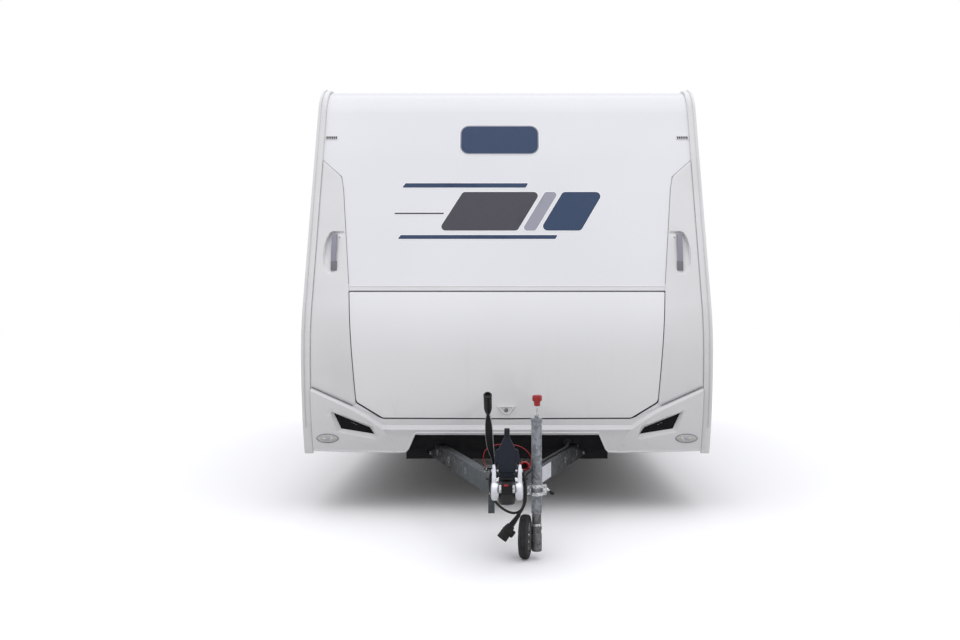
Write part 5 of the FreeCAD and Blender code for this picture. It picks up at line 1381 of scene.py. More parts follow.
def lobed(z, r, amp, n=60):
    return [Vector((JX + (r + amp * math.cos(6 * 2 * math.pi * k / n)) * math.cos(2 * math.pi * k / n + 0.2),
                    -2.830 + (r + amp * math.cos(6 * 2 * math.pi * k / n)) * math.sin(2 * math.pi * k / n + 0.2), z)) for k in range(n)]


b.loft([lobed(0.7075, 0.0105, 0.0), lobed(0.7090, 0.0132, 0.0004), lobed(0.7250, 0.0138, 0.0008), lobed(0.7285, 0.0150, 0.0012), lobed(0.7310, 0.0180, 0.0026),
        lobed(0.7340, 0.0198, 0.0026), lobed(0.7500, 0.0196, 0.0026), lobed(0.7545, 0.0182, 0.0024), lobed(0.7570, 0.0150, 0.0016), lobed(0.7580, 0.0090, 0.0004)], 0)
b.done()

b = Build("tube_clamp", ["zinc_bright", "zinc", "satin_black"], "body", "galvanised", "jockey_clamp", bevel=0.0010)
# split collar in two halves with flanges
for z0, z1 in ((292, 308), (327, 343)):
    outer = circ_pts(136, -2760, 33.0, 22, 338, 30)
    inner = circ_pts(136, -2760, 25.2, 338, 22, 30)
    lp = [(x * MM, y * MM) for x, y in outer + inner]
    n = len(outer)
    va = [Vector((x, y, z0 * MM)) for x, y in lp[:n]] + [Vector((x, y, z1 * MM)) for x, y in lp[:n]]
    vi = [Vector((x, y, z0 * MM)) for x, y in reversed(lp[n:])] + [Vector((x, y, z1 * MM)) for x, y in reversed(lp[n:])]
    fs = []
    for k in range(n - 1):
        fs += [(k, k + 1, n + k + 1, n + k), (2 * n + k + 1, 2 * n + k, 3 * n + k, 3 * n + k + 1), (n + k, n + k + 1, 3 * n + k + 1, 3 * n + k), (k + 1, k, 2 * n + k, 2 * n + k + 1)]
    fs += [(0, n, 3 * n, 2 * n), (n - 1, 3 * n - 1, 4 * n - 1, 2 * n - 1)]
    b.faces(va + vi, fs, 0)
# bridge plates between the bands and the bracket to the beam
b.box(mm(103.5, -2776, 294), mm(110.5, -2744, 341), 0)
b.box(mm(74, -2779, 297), mm(79, -2741, 339), 1)
b.box(mm(78, -2779, 297), mm(106, -2774, 339), 1)
b.box(mm(78, -2746, 297), mm(106, -2741, 339), 1)
for z in (304, 331):
    b.lathe([(0.0, 0.0), (0.0, 0.0070), (0.005, 0.0070), (0.005, 0.0)], mm(88, -2779, z), (0, -1, 0), 0, 6)
    b.lathe([(0.0, 0.0), (0.0, 0.0062), (0.004, 0.0050), (0.005, 0.0)], mm(96, -2779, z - 2), (0, -1, 0), 0, 14)
# flanges, spacer and T-screw on the outer side
for y in (-2766.5, -2756.5):
    b.box(mm(164.5, y - 1.8 if y < -2760 else y - 1.8, 294), mm(181, y + 1.8, 341), 0)
b.lathe([(0.0, 0.0), (0.0, 0.0092), (0.005, 0.0092), (0.0055, 0.0058), (0.0190, 0.0058), (0.0190, 0.0088), (0.0250, 0.0088), (0.0262, 0.0066), (0.0262, 0.0)], mm(163, -2760, 317), (1, 0, 0), 0, 20)
b.sweep([mm(187, -2760, 317), mm(191, -2768, 315), mm(196, -2779, 312), mm(202, -2789, 309)], circle(0.0048, 12), 0, up=(0, 0, 1))
b.sweep([mm(197, -2778, 311.5), mm(203, -2788, 308.5), mm(208, -2797, 306), mm(210, -2800, 305)], circle(0.0085, 14), 2, up=(0, 0, 1), scales=[0.8, 1.0, 1.0, 0.7])
b.done()

YAW = Matrix.Translation(Vector((JX, JY, 0))) @ Matrix.Rotation(math.radians(-8), 4, "Z") @ Matrix.Translation(Vector((-JX, -JY, 0)))

b = Build("jockey_inner_leg", ["zinc_leg_shaded", "zinc_bright"], "jockey_slider", "galvanised", "jockey_leg", bevel=0.0008)
b.lathe([(0.150, 0.0), (0.150, 0.0208), (0.1515, 0.0210), (0.548, 0.0210), (0.550, 0.0200), (0.550, 0.0)], (JX, JY, 0.0), (0, 0, 1), 0, 44)
b.lathe([(0.1510, 0.0209), (0.1510, 0.0222), (0.1530, 0.0228), (0.1590, 0.0228), (0.1620, 0.0222), (0.1620, 0.0209)], (JX, JY, 0.0), (0, 0, 1), 1, 44, closed=True)
b.done()

b = Build("jockey_yoke", ["zinc_leg_shaded", "zinc_bright"], "jockey_caster", "galvanised", "jockey_fork", bevel=0.0010)
b.turn = YAW
b.lathe([(0.036, 0.0), (0.036, 0.0215), (0.039, 0.0238), (0.060, 0.0240), (0.112, 0.0240), (0.115, 0.0232), (0.1175, 0.0218), (0.130, 0.0216), (0.133, 0.0236), (0.146, 0.0240), (0.1495, 0.0228), (0.1495, 0.0)],
        (JX, JY, 0.0), (0, 0, 1), 0, 44)
b.cyl(mm(56, -2760, 100), mm(116, -2760, 100), 0.0068, 1, 20)
b.lathe([(0.0, 0.0), (0.0, 0.0105), (0.0015, 0.0125), (0.0035, 0.0125), (0.0035, 0.0)], mm(106.6, -2760, 100), (1, 0, 0), 1, 24)
b.lathe([(0.0, 0.0), (0.0, 0.0115), (0.0055, 0.0115), (0.0055, 0.0)], mm(53.5, -2760, 100), (1, 0, 0), 1, 6)
# pressed bracket from the collar to the pin, seen in front of the hub
for sy, t_ in ((-1, 3.0),):
    br = [(-2782, 62), (-2776, 40), (-2763, 44), (-2750, 92), (-2752, 112), (-2766, 114), (-2776, 104)]
    b.prism([(y * MM, z * MM) for y, z in br], "X", 0.1070, 0.1100, 0)
    b.loft([[mm(x, -2783, z) for x, z in ((110, 44), (110, 132), (98, 128), (92, 104), (92, 88), (100, 60))],
            [mm(x, -2780, z) for x, z in ((110, 44), (110, 132), (98, 128), (92, 104), (92, 88), (100, 60))]], 0)
    b.lathe([(0, 0.006), (0.003, 0.0055), (0.004, 0.0)], mm(101, -2783, 112), (0, -1, 0), 1, 12)
    b.lathe([(0, 0.006), (0.003, 0.0055), (0.004, 0.0)], mm(100, -2783, 82), (0, -1, 0), 1, 12)
# pressed plate that carries the pin
PL = rounded_loop([(-2782, 134), (-2738, 134), (-2744, 84), (-2776, 84)], [6, 6, 14, 14], 4)
b.prism([(y * MM, z * MM) for y, z in PL], "X", 0.1085, 0.1135, 0)
b.done()

b = Build("jockey_roller_wheel", ["tyre", "grey", "zinc_bright"], "jockey_roller", "tyre_rubber", "jockey_wheel", bevel=0.0)
b.turn = YAW
WC = mm(83, -2760, 100)
prof = [(-0.0150, 0.0620), (-0.0195, 0.0660), (-0.0225, 0.0760), (-0.0228, 0.0860), (-0.0205, 0.0930), (-0.0160, 0.0975), (-0.0098, 0.0995), (-0.0090, 0.0970),
        (-0.0072, 0.0970), (-0.0064, 0.0999), (-0.0010, 0.1000), (-0.0004, 0.0975), (0.0004, 0.0975), (0.0010, 0.1000), (0.0064, 0.0999), (0.0072, 0.0970), (0.0090, 0.0970),
        (0.0098, 0.0995), (0.0160, 0.0975), (0.0205, 0.0930), (0.0228, 0.0860), (0.0225, 0.0760), (0.0195, 0.0660), (0.0150, 0.0620)]
b.lathe(prof, WC, (1, 0, 0), 0, 72, closed=True)
hub = [(-0.0165, 0.0630), (-0.0180, 0.0605), (-0.0150, 0.0585), (-0.0070, 0.0560), (-0.0060, 0.0300), (-0.0075, 0.0240), (-0.0215, 0.0215), (-0.0228, 0.0190), (-0.0228, 0.0076),
       (0.0228, 0.0076), (0.0228, 0.0190), (0.0215, 0.0215), (0.0075, 0.0240), (0.0060, 0.0300), (0.0070, 0.0560), (0.0150, 0.0585), (0.0180, 0.0605), (0.0165, 0.0630)]
b.lathe(hub, WC, (1, 0, 0), 1, 56, closed=True)
for k in range(8):
    a = 2 * math.pi * k / 8
    for sgn in (-1, 1):
        p0 = WC + Vector((sgn * 0.0062, 0.0225 * math.cos(a), 0.0225 * math.sin(a)))
        p1 = WC + Vector((sgn * 0.0105, 0.0560 * math.cos(a), 0.0560 * math.sin(a)))
        b.sweep([p0, p1], round_rect(0.0050, 0.0090, 0.0015, 2), 1, up=(1, 0, 0))
for sgn in (-1, 1):
    b.lathe([(0.0, 0.0), (0.0, 0.0145), (0.0012, 0.0145), (0.0022, 0.0118), (0.0022, 0.0)], WC + Vector((sgn * 0.0216, 0, 0)), (sgn, 0, 0), 2, 24)
b.done()

# ------------------------------------------------- drawbar small parts
dirb = Vector((0.29610, 0.95515, 0))
nrm = Vector((0.95515, -0.29610, 0))


def beam_point(y, z, off, sgn=1):
    x = 0.058 + 0.31 * (y + 2.810)
    return Vector((sgn * (x + nrm.x * off), y + nrm.y * off, z))


b = Build("beam_label", ["label"], "body", "trim_white")
b.loft([[beam_point(y, z, o_) for y, z in ((-2.440, 0.290), (-2.275, 0.290), (-2.275, 0.366), (-2.440, 0.366))] for o_ in (0.0002, 0.0011)], 0)
b.done()
b = Build("beam_fixings", ["zinc_bright", "zinc"], "body", "galvanised", bevel=0.0006)
for sgn in (-1, 1):
    for y in (-2.770, -1.560, -1.500):
        for z in ((0.303, 0.354) if y in (-2.770, -1.560) else (0.328,)):
            p0 = beam_point(y, z, 0.0, sgn)
            d_ = Vector((sgn * nrm.x, nrm.y, 0))
            b.lathe([(-0.001, 0.0), (-0.001, 0.0115), (0.0016, 0.0115), (0.0016, 0.0092), (0.0085, 0.0092), (0.0085, 0.0)], p0, d_, 0, 6)
    for y in (-2.32, -1.98, -1.72):
        p0 = beam_point(y, 0.328, 0.0, sgn)
        d_ = Vector((sgn * nrm.x, nrm.y, 0))
        b.lathe([(0.0001, 0.0155), (0.0012, 0.0155), (0.0012, 0.0125), (0.0003, 0.0125)], p0, d_, 1, 24, closed=True)
b.done()

# brake rod under the housing and its equaliser
b = Build("brake_rod", ["zinc_bright", "zinc"], "body", "galvanised", bevel=0.0008)
b.cyl((0, -2.44, 0.300), (0, -1.80, 0.276), 0.0050, 0, 14)
b.cyl((0, -1.80, 0.276), (0, 0.74, 0.274), 0.0050, 0, 14)
b.cyl((0, -2.47, 0.3012), (0, -2.40, 0.2985), 0.0080, 0, 6)
b.sweep([(0, -2.44, 0.300), (0, -2.47, 0.330), (0, -2.49, 0.372)], round_rect(0.020, 0.005, 0.0015, 2), 1, up=(1, 0, 0))
for y in (-1.37, -0.29):
    b.box((-0.006, y - 0.010, 0.268), (0.006, y + 0.010, 0.296), 1)
b.done()

# pleated rubber sleeve between the coupling's neck and the housing
sleeve_out = [(0.0, 0.0262), (0.0, 0.0312), (0.0012, 0.0322), (0.0030, 0.0322), (0.0034, 0.0308), (0.0070, 0.0308), (0.0074, 0.0322), (0.0100, 0.0326)]
for k in range(8):
    for u in (0.0, 0.12, 0.24, 0.36, 0.5, 0.64, 0.76, 0.88):
        sleeve_out.append((0.0125 + (k + u) * 0.01335, 0.0372 + 0.0145 * (0.5 - 0.5 * math.cos(2 * math.pi * u)) ** 0.85))
sleeve_out += [(0.1193, 0.0372), (0.1205, 0.0385), (0.1270, 0.0385)]
sleeve_in = [(max(t_, 0.0), max(r_ - 0.0024, 0.0262)) for t_, r_ in reversed(sleeve_out)]
b = Build("bellows_sleeve", ["rubber", "zinc_bright"], "body", "soft_rubber", "bellows", smooth=50)
b.lathe(sleeve_out + sleeve_in[:-1], mm(0, -2942, 415), (0, 1, 0), 0, 56, closed=True)
bmesh.ops.remove_doubles(b.bm, verts=b.bm.verts, dist=1e-6)
b.lathe([(0.0036, 0.0310), (0.0036, 0.0319), (0.0068, 0.0319), (0.0068, 0.0310)], mm(0, -2942, 415), (0, 1, 0), 1, 48, closed=True)
b.box(mm(-5, -2939.5, 446.0), mm(5, -2934.0, 450.5), 1)
sleeve = b.done()
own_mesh(sleeve)

SKIRT_Z, SKIRT_TOP, REAR_Y = 0.388, 0.450, 3.150

# ------------------------------------------------------------ film on the nose


def film(name, outline, radii, mat, off, key=0.0):
    loop = rounded_loop(outline, radii, 6)
    if key:
        cx = sum(p[0] for p in loop) / len(loop)
        cz = sum(p[1] for p in loop) / len(loop)
        out = []
        n = len(loop)
        for i in range(n):
            ax, az = loop[i - 1]
            bx, bz = loop[(i + 1) % n]
            tx, tz = bx - ax, bz - az
            L = math.hypot(tx, tz) or 1.0
            nx_, nz_ = tz / L, -tx / L
            if nx_ * (loop[i][0] - cx) + nz_ * (loop[i][1] - cz) < 0:
                nx_, nz_ = -nx_, -nz_
            out.append((loop[i][0] + nx_ * key, loop[i][1] + nz_ * key))
        loop = out
    return nose_sheet(name, loop, off, off - 0.0003, mat, "body", step=0.04)


LEANING = [
    ("film_panel_dark", [(-0.400, 1.600), (0.060, 1.600), (0.200, 1.835), (-0.260, 1.835)], 0.024, "film_grey"),
    ("film_panel_silver", [(0.085, 1.600), (0.165, 1.600), (0.305, 1.835), (0.225, 1.835)], 0.018, "film_silver"),
    ("film_panel_navy", [(0.190, 1.600), (0.430, 1.600), (0.570, 1.835), (0.330, 1.835)], 0.026, "navy"),
    ("film_stripe_high", [(-0.620, 1.862), (0.110, 1.862), (0.126, 1.889), (-0.600, 1.889)], 0.004, "navy"),
    ("film_stripe_low", [(-0.633, 1.550), (0.280, 1.550), (0.294, 1.573), (-0.616, 1.573)], 0.004, "navy"),
    ("film_pin_stripe", [(-0.660, 1.699), (-0.372, 1.699), (-0.367, 1.708), (-0.655, 1.708)], 0.002, "film_grey"),
]
for nm, pts_, rad, mt in LEANING:
    film(nm, pts_, rad, mt, 0.0009)
    film(nm + "_line", pts_, rad, "film_white", 0.0005, 0.005)
# plain plaque high on the nose, left bare
PLAQUE = [(-0.275, 2.078), (0.185, 2.078), (0.185, 2.250), (-0.275, 2.250)]
film("plaque_field", PLAQUE, 0.045, "navy", 0.0022)
film("plaque_rim", PLAQUE, 0.045, "film_silver", 0.0016, 0.007)
film("plaque_line", PLAQUE, 0.045, "film_white", 0.0010, 0.013)

# fine sealant beads along the mouldings, the plinths of the vents and the wall's edge, and a dark bead of painted shade
# in the shut line above the bumper
b = Build("nose_sealant_and_gap_shade", ["sealant_and_gap_shade"], "body", "grey_plastic")
for sgn in (1, -1):
    def run(points, off, r, n=10):
        path = []
        for (x0, z0), (x1, z1) in zip(points, points[1:]):
            for k in range(n):
                path.append(nose_point(sgn * mix(x0, x1, k / n), mix(z0, z1, k / n), off))
        path.append(nose_point(sgn * points[-1][0], points[-1][1], off))
        b.sweep(path, circle(r, 6), 0, up=(0, -1, 0))
    run([(1.096, 2.031), (0.9815, 1.9300), (0.9650, 1.8475), (0.9005, 1.2870)], 0.0006, 0.0018)
    run([(0.9000, 1.240), (0.8490, 0.640)], 0.0004, 0.0013)
    # painted shade: a dark grey bead in the shut line between the corner moulding and the bumper stands for the shade
    # in that gap
    gap = []
    for k in range(25):
        x, z = mix(0.866, 1.090, k / 24), mix(0.6035, 0.7070, k / 24)
        gap.append(nose_point(sgn * x, z, max(bumper_height(sgn * x, z - 0.004), 0.004) + 0.0004))
    b.sweep(gap, circle(0.0027, 8), 0, up=(0, -1, 0))
b.done()

# rolled lip along the bumper's lower edge
b = Build("bumper_lip", ["moulded"], "body", "trim_white")
low_edge = [(-1.090, 0.3445), (-0.629, 0.3330), (-0.575, 0.3345), (-0.560, 0.3520), (-0.519, 0.4430), (-0.508, 0.4475), (0.508, 0.4475), (0.519, 0.4430), (0.560, 0.3520), (0.575, 0.3345), (0.629, 0.3330), (1.090, 0.3445)]
path = []
for (x0, z0), (x1, z1) in zip(low_edge, low_edge[1:]):
    k_ = max(1, int(math.hypot(x1 - x0, z1 - z0) / 0.03))
    for k in range(k_):
        x, z = mix(x0, x1, k / k_), mix(z0, z1, k / k_)
        path.append(nose_point(x, z, bumper_height(x, min(max(z + 0.004, 0.345), 0.46)) - 0.0015))
path.append(nose_point(1.090, 0.3445, bumper_height(1.090, 0.3485) - 0.0015))
b.sweep(path, circle(0.0052, 10), 0, up=(0, -1, 0))
b.done()

# soft infill strips along the corner rails and their end caps
rail_pts = {}
me_ = NODES["edge_rails"].data
mw = NODES["edge_rails"].matrix_world
for sgn in (1, -1):
    seen = {}
    for v in me_.vertices:
        p = mw @ v.co
        if abs(abs(p.x) - 1.150) < 0.0008 and p.x * sgn > 0:
            seen[(round(p.y, 4), round(p.z, 4))] = (p.y, p.z)
    rail_pts[sgn] = list(seen.values())


def outline_of(points):
    """Outer edge of the rail in side view, from the nose's foot over the roof to the tail's foot."""
    cy, cz = 0.66, 0.45
    bins = {}
    for y, z in points:
        a = round(math.degrees(math.atan2(z - cz, y - cy)) * 1.0)
        r = math.hypot(y - cy, z - cz)
        if a < -4 or a > 184:
            continue
        if a not in bins or r > bins[a][0]:
            bins[a] = (r, y, z)
    return [(bins[a][1], bins[a][2]) for a in sorted(bins, reverse=True)]


for sgn in (1, -1):
    line_ = outline_of(rail_pts[sgn])
    path = [Vector((sgn * 1.1325, y, z)) for y, z in line_ if z > 0.46]
    if len(path) > 8:
        # even the spacing by dropping points closer than 12 mm
        even = [path[0]]
        for p in path[1:]:
            if (p - even[-1]).length > 0.012:
                even.append(p)
        c_ = Vector((sgn * 1.1325, 0.66, 1.2))
        outw = []
        for i, p in enumerate(even):
            t = (even[min(i + 1, len(even) - 1)] - even[max(i - 1, 0)]).normalized()
            n_ = Vector((0, -t.z, t.y))
            if n_.dot(p - c_) < 0:
                n_ = -n_
            outw.append(p + n_ * 0.0006)
        b = Build("rail_infill_%s" % ("left" if sgn > 0 else "right"), ["strip"], "body", "aluminium_rail", bevel=0.0)
        b.sweep(outw, round_rect(0.0110, 0.0034, 0.0012, 2), 0, up=(1, 0, 0))
        b.done()


def rr(u0, v0, u1, v1, r, n=6):
    w, h = u1 - u0, v1 - v0
    cx, cy = (u0 + u1) / 2, (v0 + v1) / 2
    return [(cx + a, cy + c) for a, c in round_rect(w, h, r, n)]


def ring_prism(b, outer, inner, axis, a, c, m=0):
    """Closed frame between two loops of equal count."""
    def place(p, t):
        return {"X": (t, p[0], p[1]), "Y": (p[0], t, p[1]), "Z": (p[0], p[1], t)}[axis]
    n = len(outer)
    verts = [place(p, a) for p in outer] + [place(p, c) for p in outer] + [place(p, c) for p in inner] + [place(p, a) for p in inner]
    fs = []
    for r in range(4):
        for k in range(n):
            k2 = (k + 1) % n
            fs.append((r * n + k, r * n + k2, ((r + 1) % 4) * n + k2, ((r + 1) % 4) * n + k))
    b.faces(verts, fs, m)


# ---------------------------------------------------------------- windows
WALL = 1.138
INNER = 1.108


def pane_window(tag, axis, sgn, u0, v0, u1, v1, body, slot, node, wall, inner, catches=3, hinge=True, r=0.07, inner_frame=True, flip_u=1):
    """Hung acrylic window over a hole; u runs along the wall, v is height, sgn the outer side."""
    lap = 0.020
    b = Build(tag + "_pane", ["pane"], body, slot, node, bevel=0.0, smooth=50)
    rings = []
    for off, ins in ((0.0022, 0.0015), (0.0030, 0.0), (0.0062, 0.0), (0.0080, 0.0012), (0.0089, 0.0040), (0.0091, 0.0090)):
        t = sgn * (wall + off)
        lp = rr(u0 - lap + ins, v0 - lap + ins, u1 + lap - ins, v1 + lap - ins, r - ins, 8)
        rings.append([(t, u, v) if axis == "X" else (u, t, v) for u, v in lp])
    b.loft(rings, 0)
    b.done()
    b = Build(tag + "_surround", ["seal", "alu", "grey", "film_white"], body, "black_plastic", node, bevel=0.0008)
    # dark edge print behind the pane and the rubber it rests on
    ring_prism(b, rr(u0 - lap + 0.003, v0 - lap + 0.003, u1 + lap - 0.003, v1 + lap - 0.003, r - 0.003, 8),
               rr(u0 + 0.022, v0 + 0.022, u1 - 0.022, v1 - 0.022, r - 0.036, 8), axis, sgn * (wall + 0.0009), sgn * (wall + 0.0019), 0)
    ring_prism(b, rr(u0 - 0.006, v0 - 0.006, u1 + 0.006, v1 + 0.006, r - 0.012, 8),
               rr(u0 + 0.004, v0 + 0.004, u1 - 0.004, v1 - 0.004, r - 0.022, 8), axis, sgn * (wall - 0.012), sgn * (wall + 0.0008), 0)
    if hinge:
        lo = (u0 - lap + 0.012, v1 + lap - 0.006)
        hi = (u1 + lap - 0.012, v1 + lap + 0.010)
        sec = [(0.0, 0.0), (0.0095, 0.0), (0.0115, 0.004), (0.0115, 0.009), (0.0070, 0.0145), (0.0, 0.016)]
        ra = [(sgn * (wall + dx), lo[0], lo[1] + dz) if axis == "X" else (lo[0], sgn * (wall + dx), lo[1] + dz) for dx, dz in sec]
        rb = [(sgn * (wall + dx), hi[0], lo[1] + dz) if axis == "X" else (hi[0], sgn * (wall + dx), lo[1] + dz) for dx, dz in sec]
        b.loft([ra, rb], 1)
    if inner_frame:
        ring_prism(b, rr(u0 - 0.030, v0 - 0.030, u1 + 0.030, v1 + 0.030, r, 8), rr(u0 + 0.006, v0 + 0.006, u1 - 0.006, v1 - 0.006, r - 0.022, 8),
                   axis, sgn * (inner - 0.009), sgn * (inner + 0.004), 3)
        # roller blind case and its pull bar
        for (va, vb, dep) in ((v1 - 0.010, v1 + 0.048, 0.040), (v0 + 0.020, v0 + 0.034, 0.018)):
            t0, t1 = sgn * (inner - dep), sgn * (inner - 0.0095)
            a_, c_ = (min(t0, t1), max(t0, t1))
            if axis == "X":
                b.box((a_, u0 + 0.012, va), (c_, u1 - 0.012, vb), 3)
            else:
                b.box((u0 + 0.012, a_, va), (u1 - 0.012, c_, vb), 3)
    for k in range(catches):
        u = mix(u0 + 0.12, u1 - 0.12, k / (catches - 1)) if catches > 1 else (u0 + u1) / 2
        t0, t1 = sgn * (wall + 0.0015), sgn * (wall - 0.020)
        a_, c_ = min(t0, t1), max(t0, t1)
        if axis == "X":
            b.box((a_, u - 0.011, v0 + 0.004), (c_, u + 0.011, v0 + 0.030), 0)
            b.box((min(t1, t1 - sgn * 0.006), u - 0.007, v0 + 0.012), (max(t1, t1 - sgn * 0.006), u + 0.007, v0 + 0.062), 2)
        else:
            b.box((u - 0.011, a_, v0 + 0.004), (u + 0.011, c_, v0 + 0.030), 0)
            b.box((u - 0.007, min(t1, t1 - sgn * 0.006), v0 + 0.012), (u + 0.007, max(t1, t1 - sgn * 0.006), v0 + 0.062), 2)
    b.done()


for i, (sg, y0, z0, w, h) in enumerate(((1, 760, 1150, 800, 600), (1, 1880, 1420, 420, 340), (1, 3450, 1150, 900, 600), (-1, 760, 1150, 800, 600), (-1, 3350, 1150, 1000, 600))):
    pane_window("window_%d" % (i + 1), "X", sg, -1.810 + y0 * MM, z0 * MM, -1.810 + (y0 + w) * MM, (z0 + h) * MM, "body", "tinted_pane", "windows", WALL, INNER,
                catches=2 if w < 500 else 3)
pane_window("window_rear", "Y", 1, -0.600, 1.180, 0.600, 1.720, "body", "tinted_pane", "windows", 3.140, 3.110, catches=3)
pane_window("door_pane", "X", -1, 0.075, 1.425, 0.425, 2.035, "door", "tinted_pane", "door_window", WALL, INNER, catches=0, hinge=False, r=0.06)

# ------------------------------------------------------------- rooflights
for tag, y0, ln, w in (("rooflight_front", -0.810, 0.400, 0.200), ("rooflight_rear", 1.740, 0.700, 0.450)):
    b = Build(tag + "_frame", ["moulded", "seal"], "body", "trim_white", "rooflights", bevel=0.0025)
    ring_prism(b, rr(-w - 0.040, y0 - 0.040, w + 0.040, y0 + ln + 0.040, 0.045), rr(-w + 0.002, y0 + 0.002, w - 0.002, y0 + ln - 0.002, 0.020), "Z", 2.5065, 2.521, 0)
    ring_prism(b, rr(-w - 0.028, y0 - 0.028, w + 0.028, y0 + ln + 0.028, 0.036), rr(-w + 0.002, y0 + 0.002, w - 0.002, y0 + ln - 0.002, 0.020), "Z", 2.5205, 2.531, 1)
    b.done()
    b = Build(tag + "_dome", ["dome"], "body", "tinted_pane", "rooflights", bevel=0.0, smooth=50)
    rings = []
    for z, ins in ((2.5305, 0.004), (2.5290, 0.0), (2.5340, -0.002), (2.5440, 0.004), (2.5560, 0.016), (2.5650, 0.036), (2.5710, 0.070), (2.5750, 0.120), (2.5765, min(0.17, w * 0.8))):
        ins_y = min(ins, ln / 2 - 0.02)
        rings.append([(x, y, z) for x, y in rr(-w - 0.030 + ins, y0 - 0.030 + ins_y, w + 0.030 - ins, y0 + ln + 0.030 - ins_y, max(0.012, 0.040 - ins * 0.2))])
    b.loft(rings, 0)
    b.done()
    b = Build(tag + "_lining", ["film_white", "grey"], "body", "trim_white", bevel=0.002)
    ring_prism(b, rr(-w - 0.030, y0 - 0.030, w + 0.030, y0 + ln + 0.030, 0.03), rr(-w + 0.004, y0 + 0.004, w - 0.004, y0 + ln - 0.004, 0.02), "Z", 2.462, 2.4775, 0)
    b.box((-w + 0.05, y0 + 0.008, 2.463), (w - 0.05, y0 + 0.030, 2.475), 1)
    b.done()

# ---------------------------------------------------------------- door
b = Build("door_seal", ["seal"], "body", "black_plastic", bevel=0.0)
ring_prism(b, rr(-0.0595, 0.4705, 0.5395, 2.2295, 0.069), rr(-0.0552, 0.4748, 0.5352, 2.2252, 0.066), "X", -1.1365, -1.112, 0)
b.done()
b = Build("door_fittings", ["black", "satin_black", "zinc_bright", "alu", "grey"], "door", "black_plastic", bevel=0.0012, segs=2)
ring_prism(b, rr(0.438, 1.255, 0.508, 1.405, 0.016), rr(0.446, 1.263, 0.500, 1.397, 0.011), "X", -1.1435, -1.1375, 0)
b.prism(rr(0.444, 1.261, 0.502, 1.399, 0.012), "X", -1.1392, -1.1376, 1)
b.loft([[(-1.1385, y, z) for y, z in rr(0.450, 1.300, 0.496, 1.388, 0.010)], [(-1.1450, y, z) for y, z in rr(0.451, 1.302, 0.495, 1.386, 0.009)],
        [(-1.1475, y, z) for y, z in rr(0.455, 1.308, 0.491, 1.380, 0.007)]], 0)
b.lathe([(0, 0.011), (0.003, 0.011), (0.0045, 0.009), (0.0045, 0)], (-1.1385, 0.473, 1.281), (-1, 0, 0), 2, 24)
b.box((-1.1436, 0.4718, 1.276), (-1.1428, 0.4742, 1.286), 1)
# pressed panel lines of the door skin
for z in (0.905, 0.945):
    b.box((-1.1392, -0.030, z - 0.003), (-1.1376, 0.510, z + 0.003), 3)
b.box((-1.1396, -0.045, 0.489), (-1.1376, 0.525, 0.560), 3)
# inner handle, pockets and bin
b.prism(rr(0.440, 1.230, 0.505, 1.380, 0.012), "X", -1.1085, -1.1000, 1)
b.box((-1.1005, 0.452, 1.300), (-1.0850, 0.492, 1.320), 0)
for z0_, z1_ in ((0.56, 0.80), (0.98, 1.16)):
    b.box((-1.1085, 0.03, z0_), (-1.1045, 0.41, z1_ + 0.03), 4)
    b.box((-1.1085, 0.03, z0_), (-1.0500, 0.41, z0_ + 0.004), 4)
    b.box((-1.0540, 0.03, z0_), (-1.0500, 0.41, z1_), 4)
    b.box((-1.1085, 0.03, z0_), (-1.0500, 0.034, z1_), 4)
    b.box((-1.1085, 0.406, z0_), (-1.0500, 0.41, z1_), 4)
b.done()
b = Build("entrance_light", ["grey", "clear_lens"], "body", "lamp_lens", bevel=0.0015)
b.prism(rr(-0.240, 2.040, -0.110, 2.110, 0.014), "X", -1.1430, -1.1375, 0)
b.loft([[(-1.1425, y, z) for y, z in rr(-0.234, 2.046, -0.116, 2.104, 0.012)], [(-1.1495, y, z) for y, z in rr(-0.230, 2.050, -0.120, 2.100, 0.010)]], 1)
b.done()

# ------------------------------------------------- side wall equipment
b = Build("fridge_vents", ["grey", "board_black"], "body", "grey_plastic", bevel=0.0008)
for z0_ in (0.830, 1.240):
    ring_prism(b, rr(0.620, z0_, 1.020, z0_ + 0.190, 0.014), rr(0.634, z0_ + 0.014, 1.006, z0_ + 0.176, 0.006), "X", 1.1375, 1.1450, 0)
    b.box((1.1376, 0.630, z0_ + 0.010), (1.1386, 1.010, z0_ + 0.180), 1)
    for k in range(10):
        z = z0_ + 0.020 + k * 0.0158
        b.loft([[(1.1384, y, z), (1.1384, y, z + 0.0030), (1.1446, y, z - 0.0050), (1.1446, y, z - 0.0080)] for y in (0.632, 1.008)], 0)
    for y in (0.80, 0.84):
        b.box((1.1384, y - 0.003, z0_ + 0.010), (1.1448, y + 0.003, z0_ + 0.180), 0)
b.done()
b = Build("service_points", ["moulded", "grey", "seal", "satin_black"], "body", "trim_white", bevel=0.0012)
# water filler, mains inlet and heater flue
b.lathe([(0, 0.058), (0.004, 0.058), (0.007, 0.054), (0.007, 0.044), (0.014, 0.043), (0.0165, 0.040), (0.0165, 0.0)], (1.1375, -0.620, 0.640), (1, 0, 0), 0, 40)
for k in range(8):
    a = 2 * math.pi * k / 8
    b.box((1.1375, -0.620 + 0.043 * math.cos(a) - 0.003, 0.640 + 0.043 * math.sin(a) - 0.003), (1.1520, -0.620 + 0.043 * math.cos(a) + 0.003, 0.640 + 0.043 * math.sin(a) + 0.003), 0)
b.loft([[(1.1375, y, z) for y, z in rr(2.180, 0.590, 2.310, 0.750, 0.016)], [(1.1500, y, z) for y, z in rr(2.181, 0.591, 2.309, 0.749, 0.015)],
        [(1.1560, y, z) for y, z in rr(2.190, 0.600, 2.300, 0.740, 0.012)]], 0)
b.box((1.1555, 2.232, 0.5900), (1.1600, 2.258, 0.6060), 1)
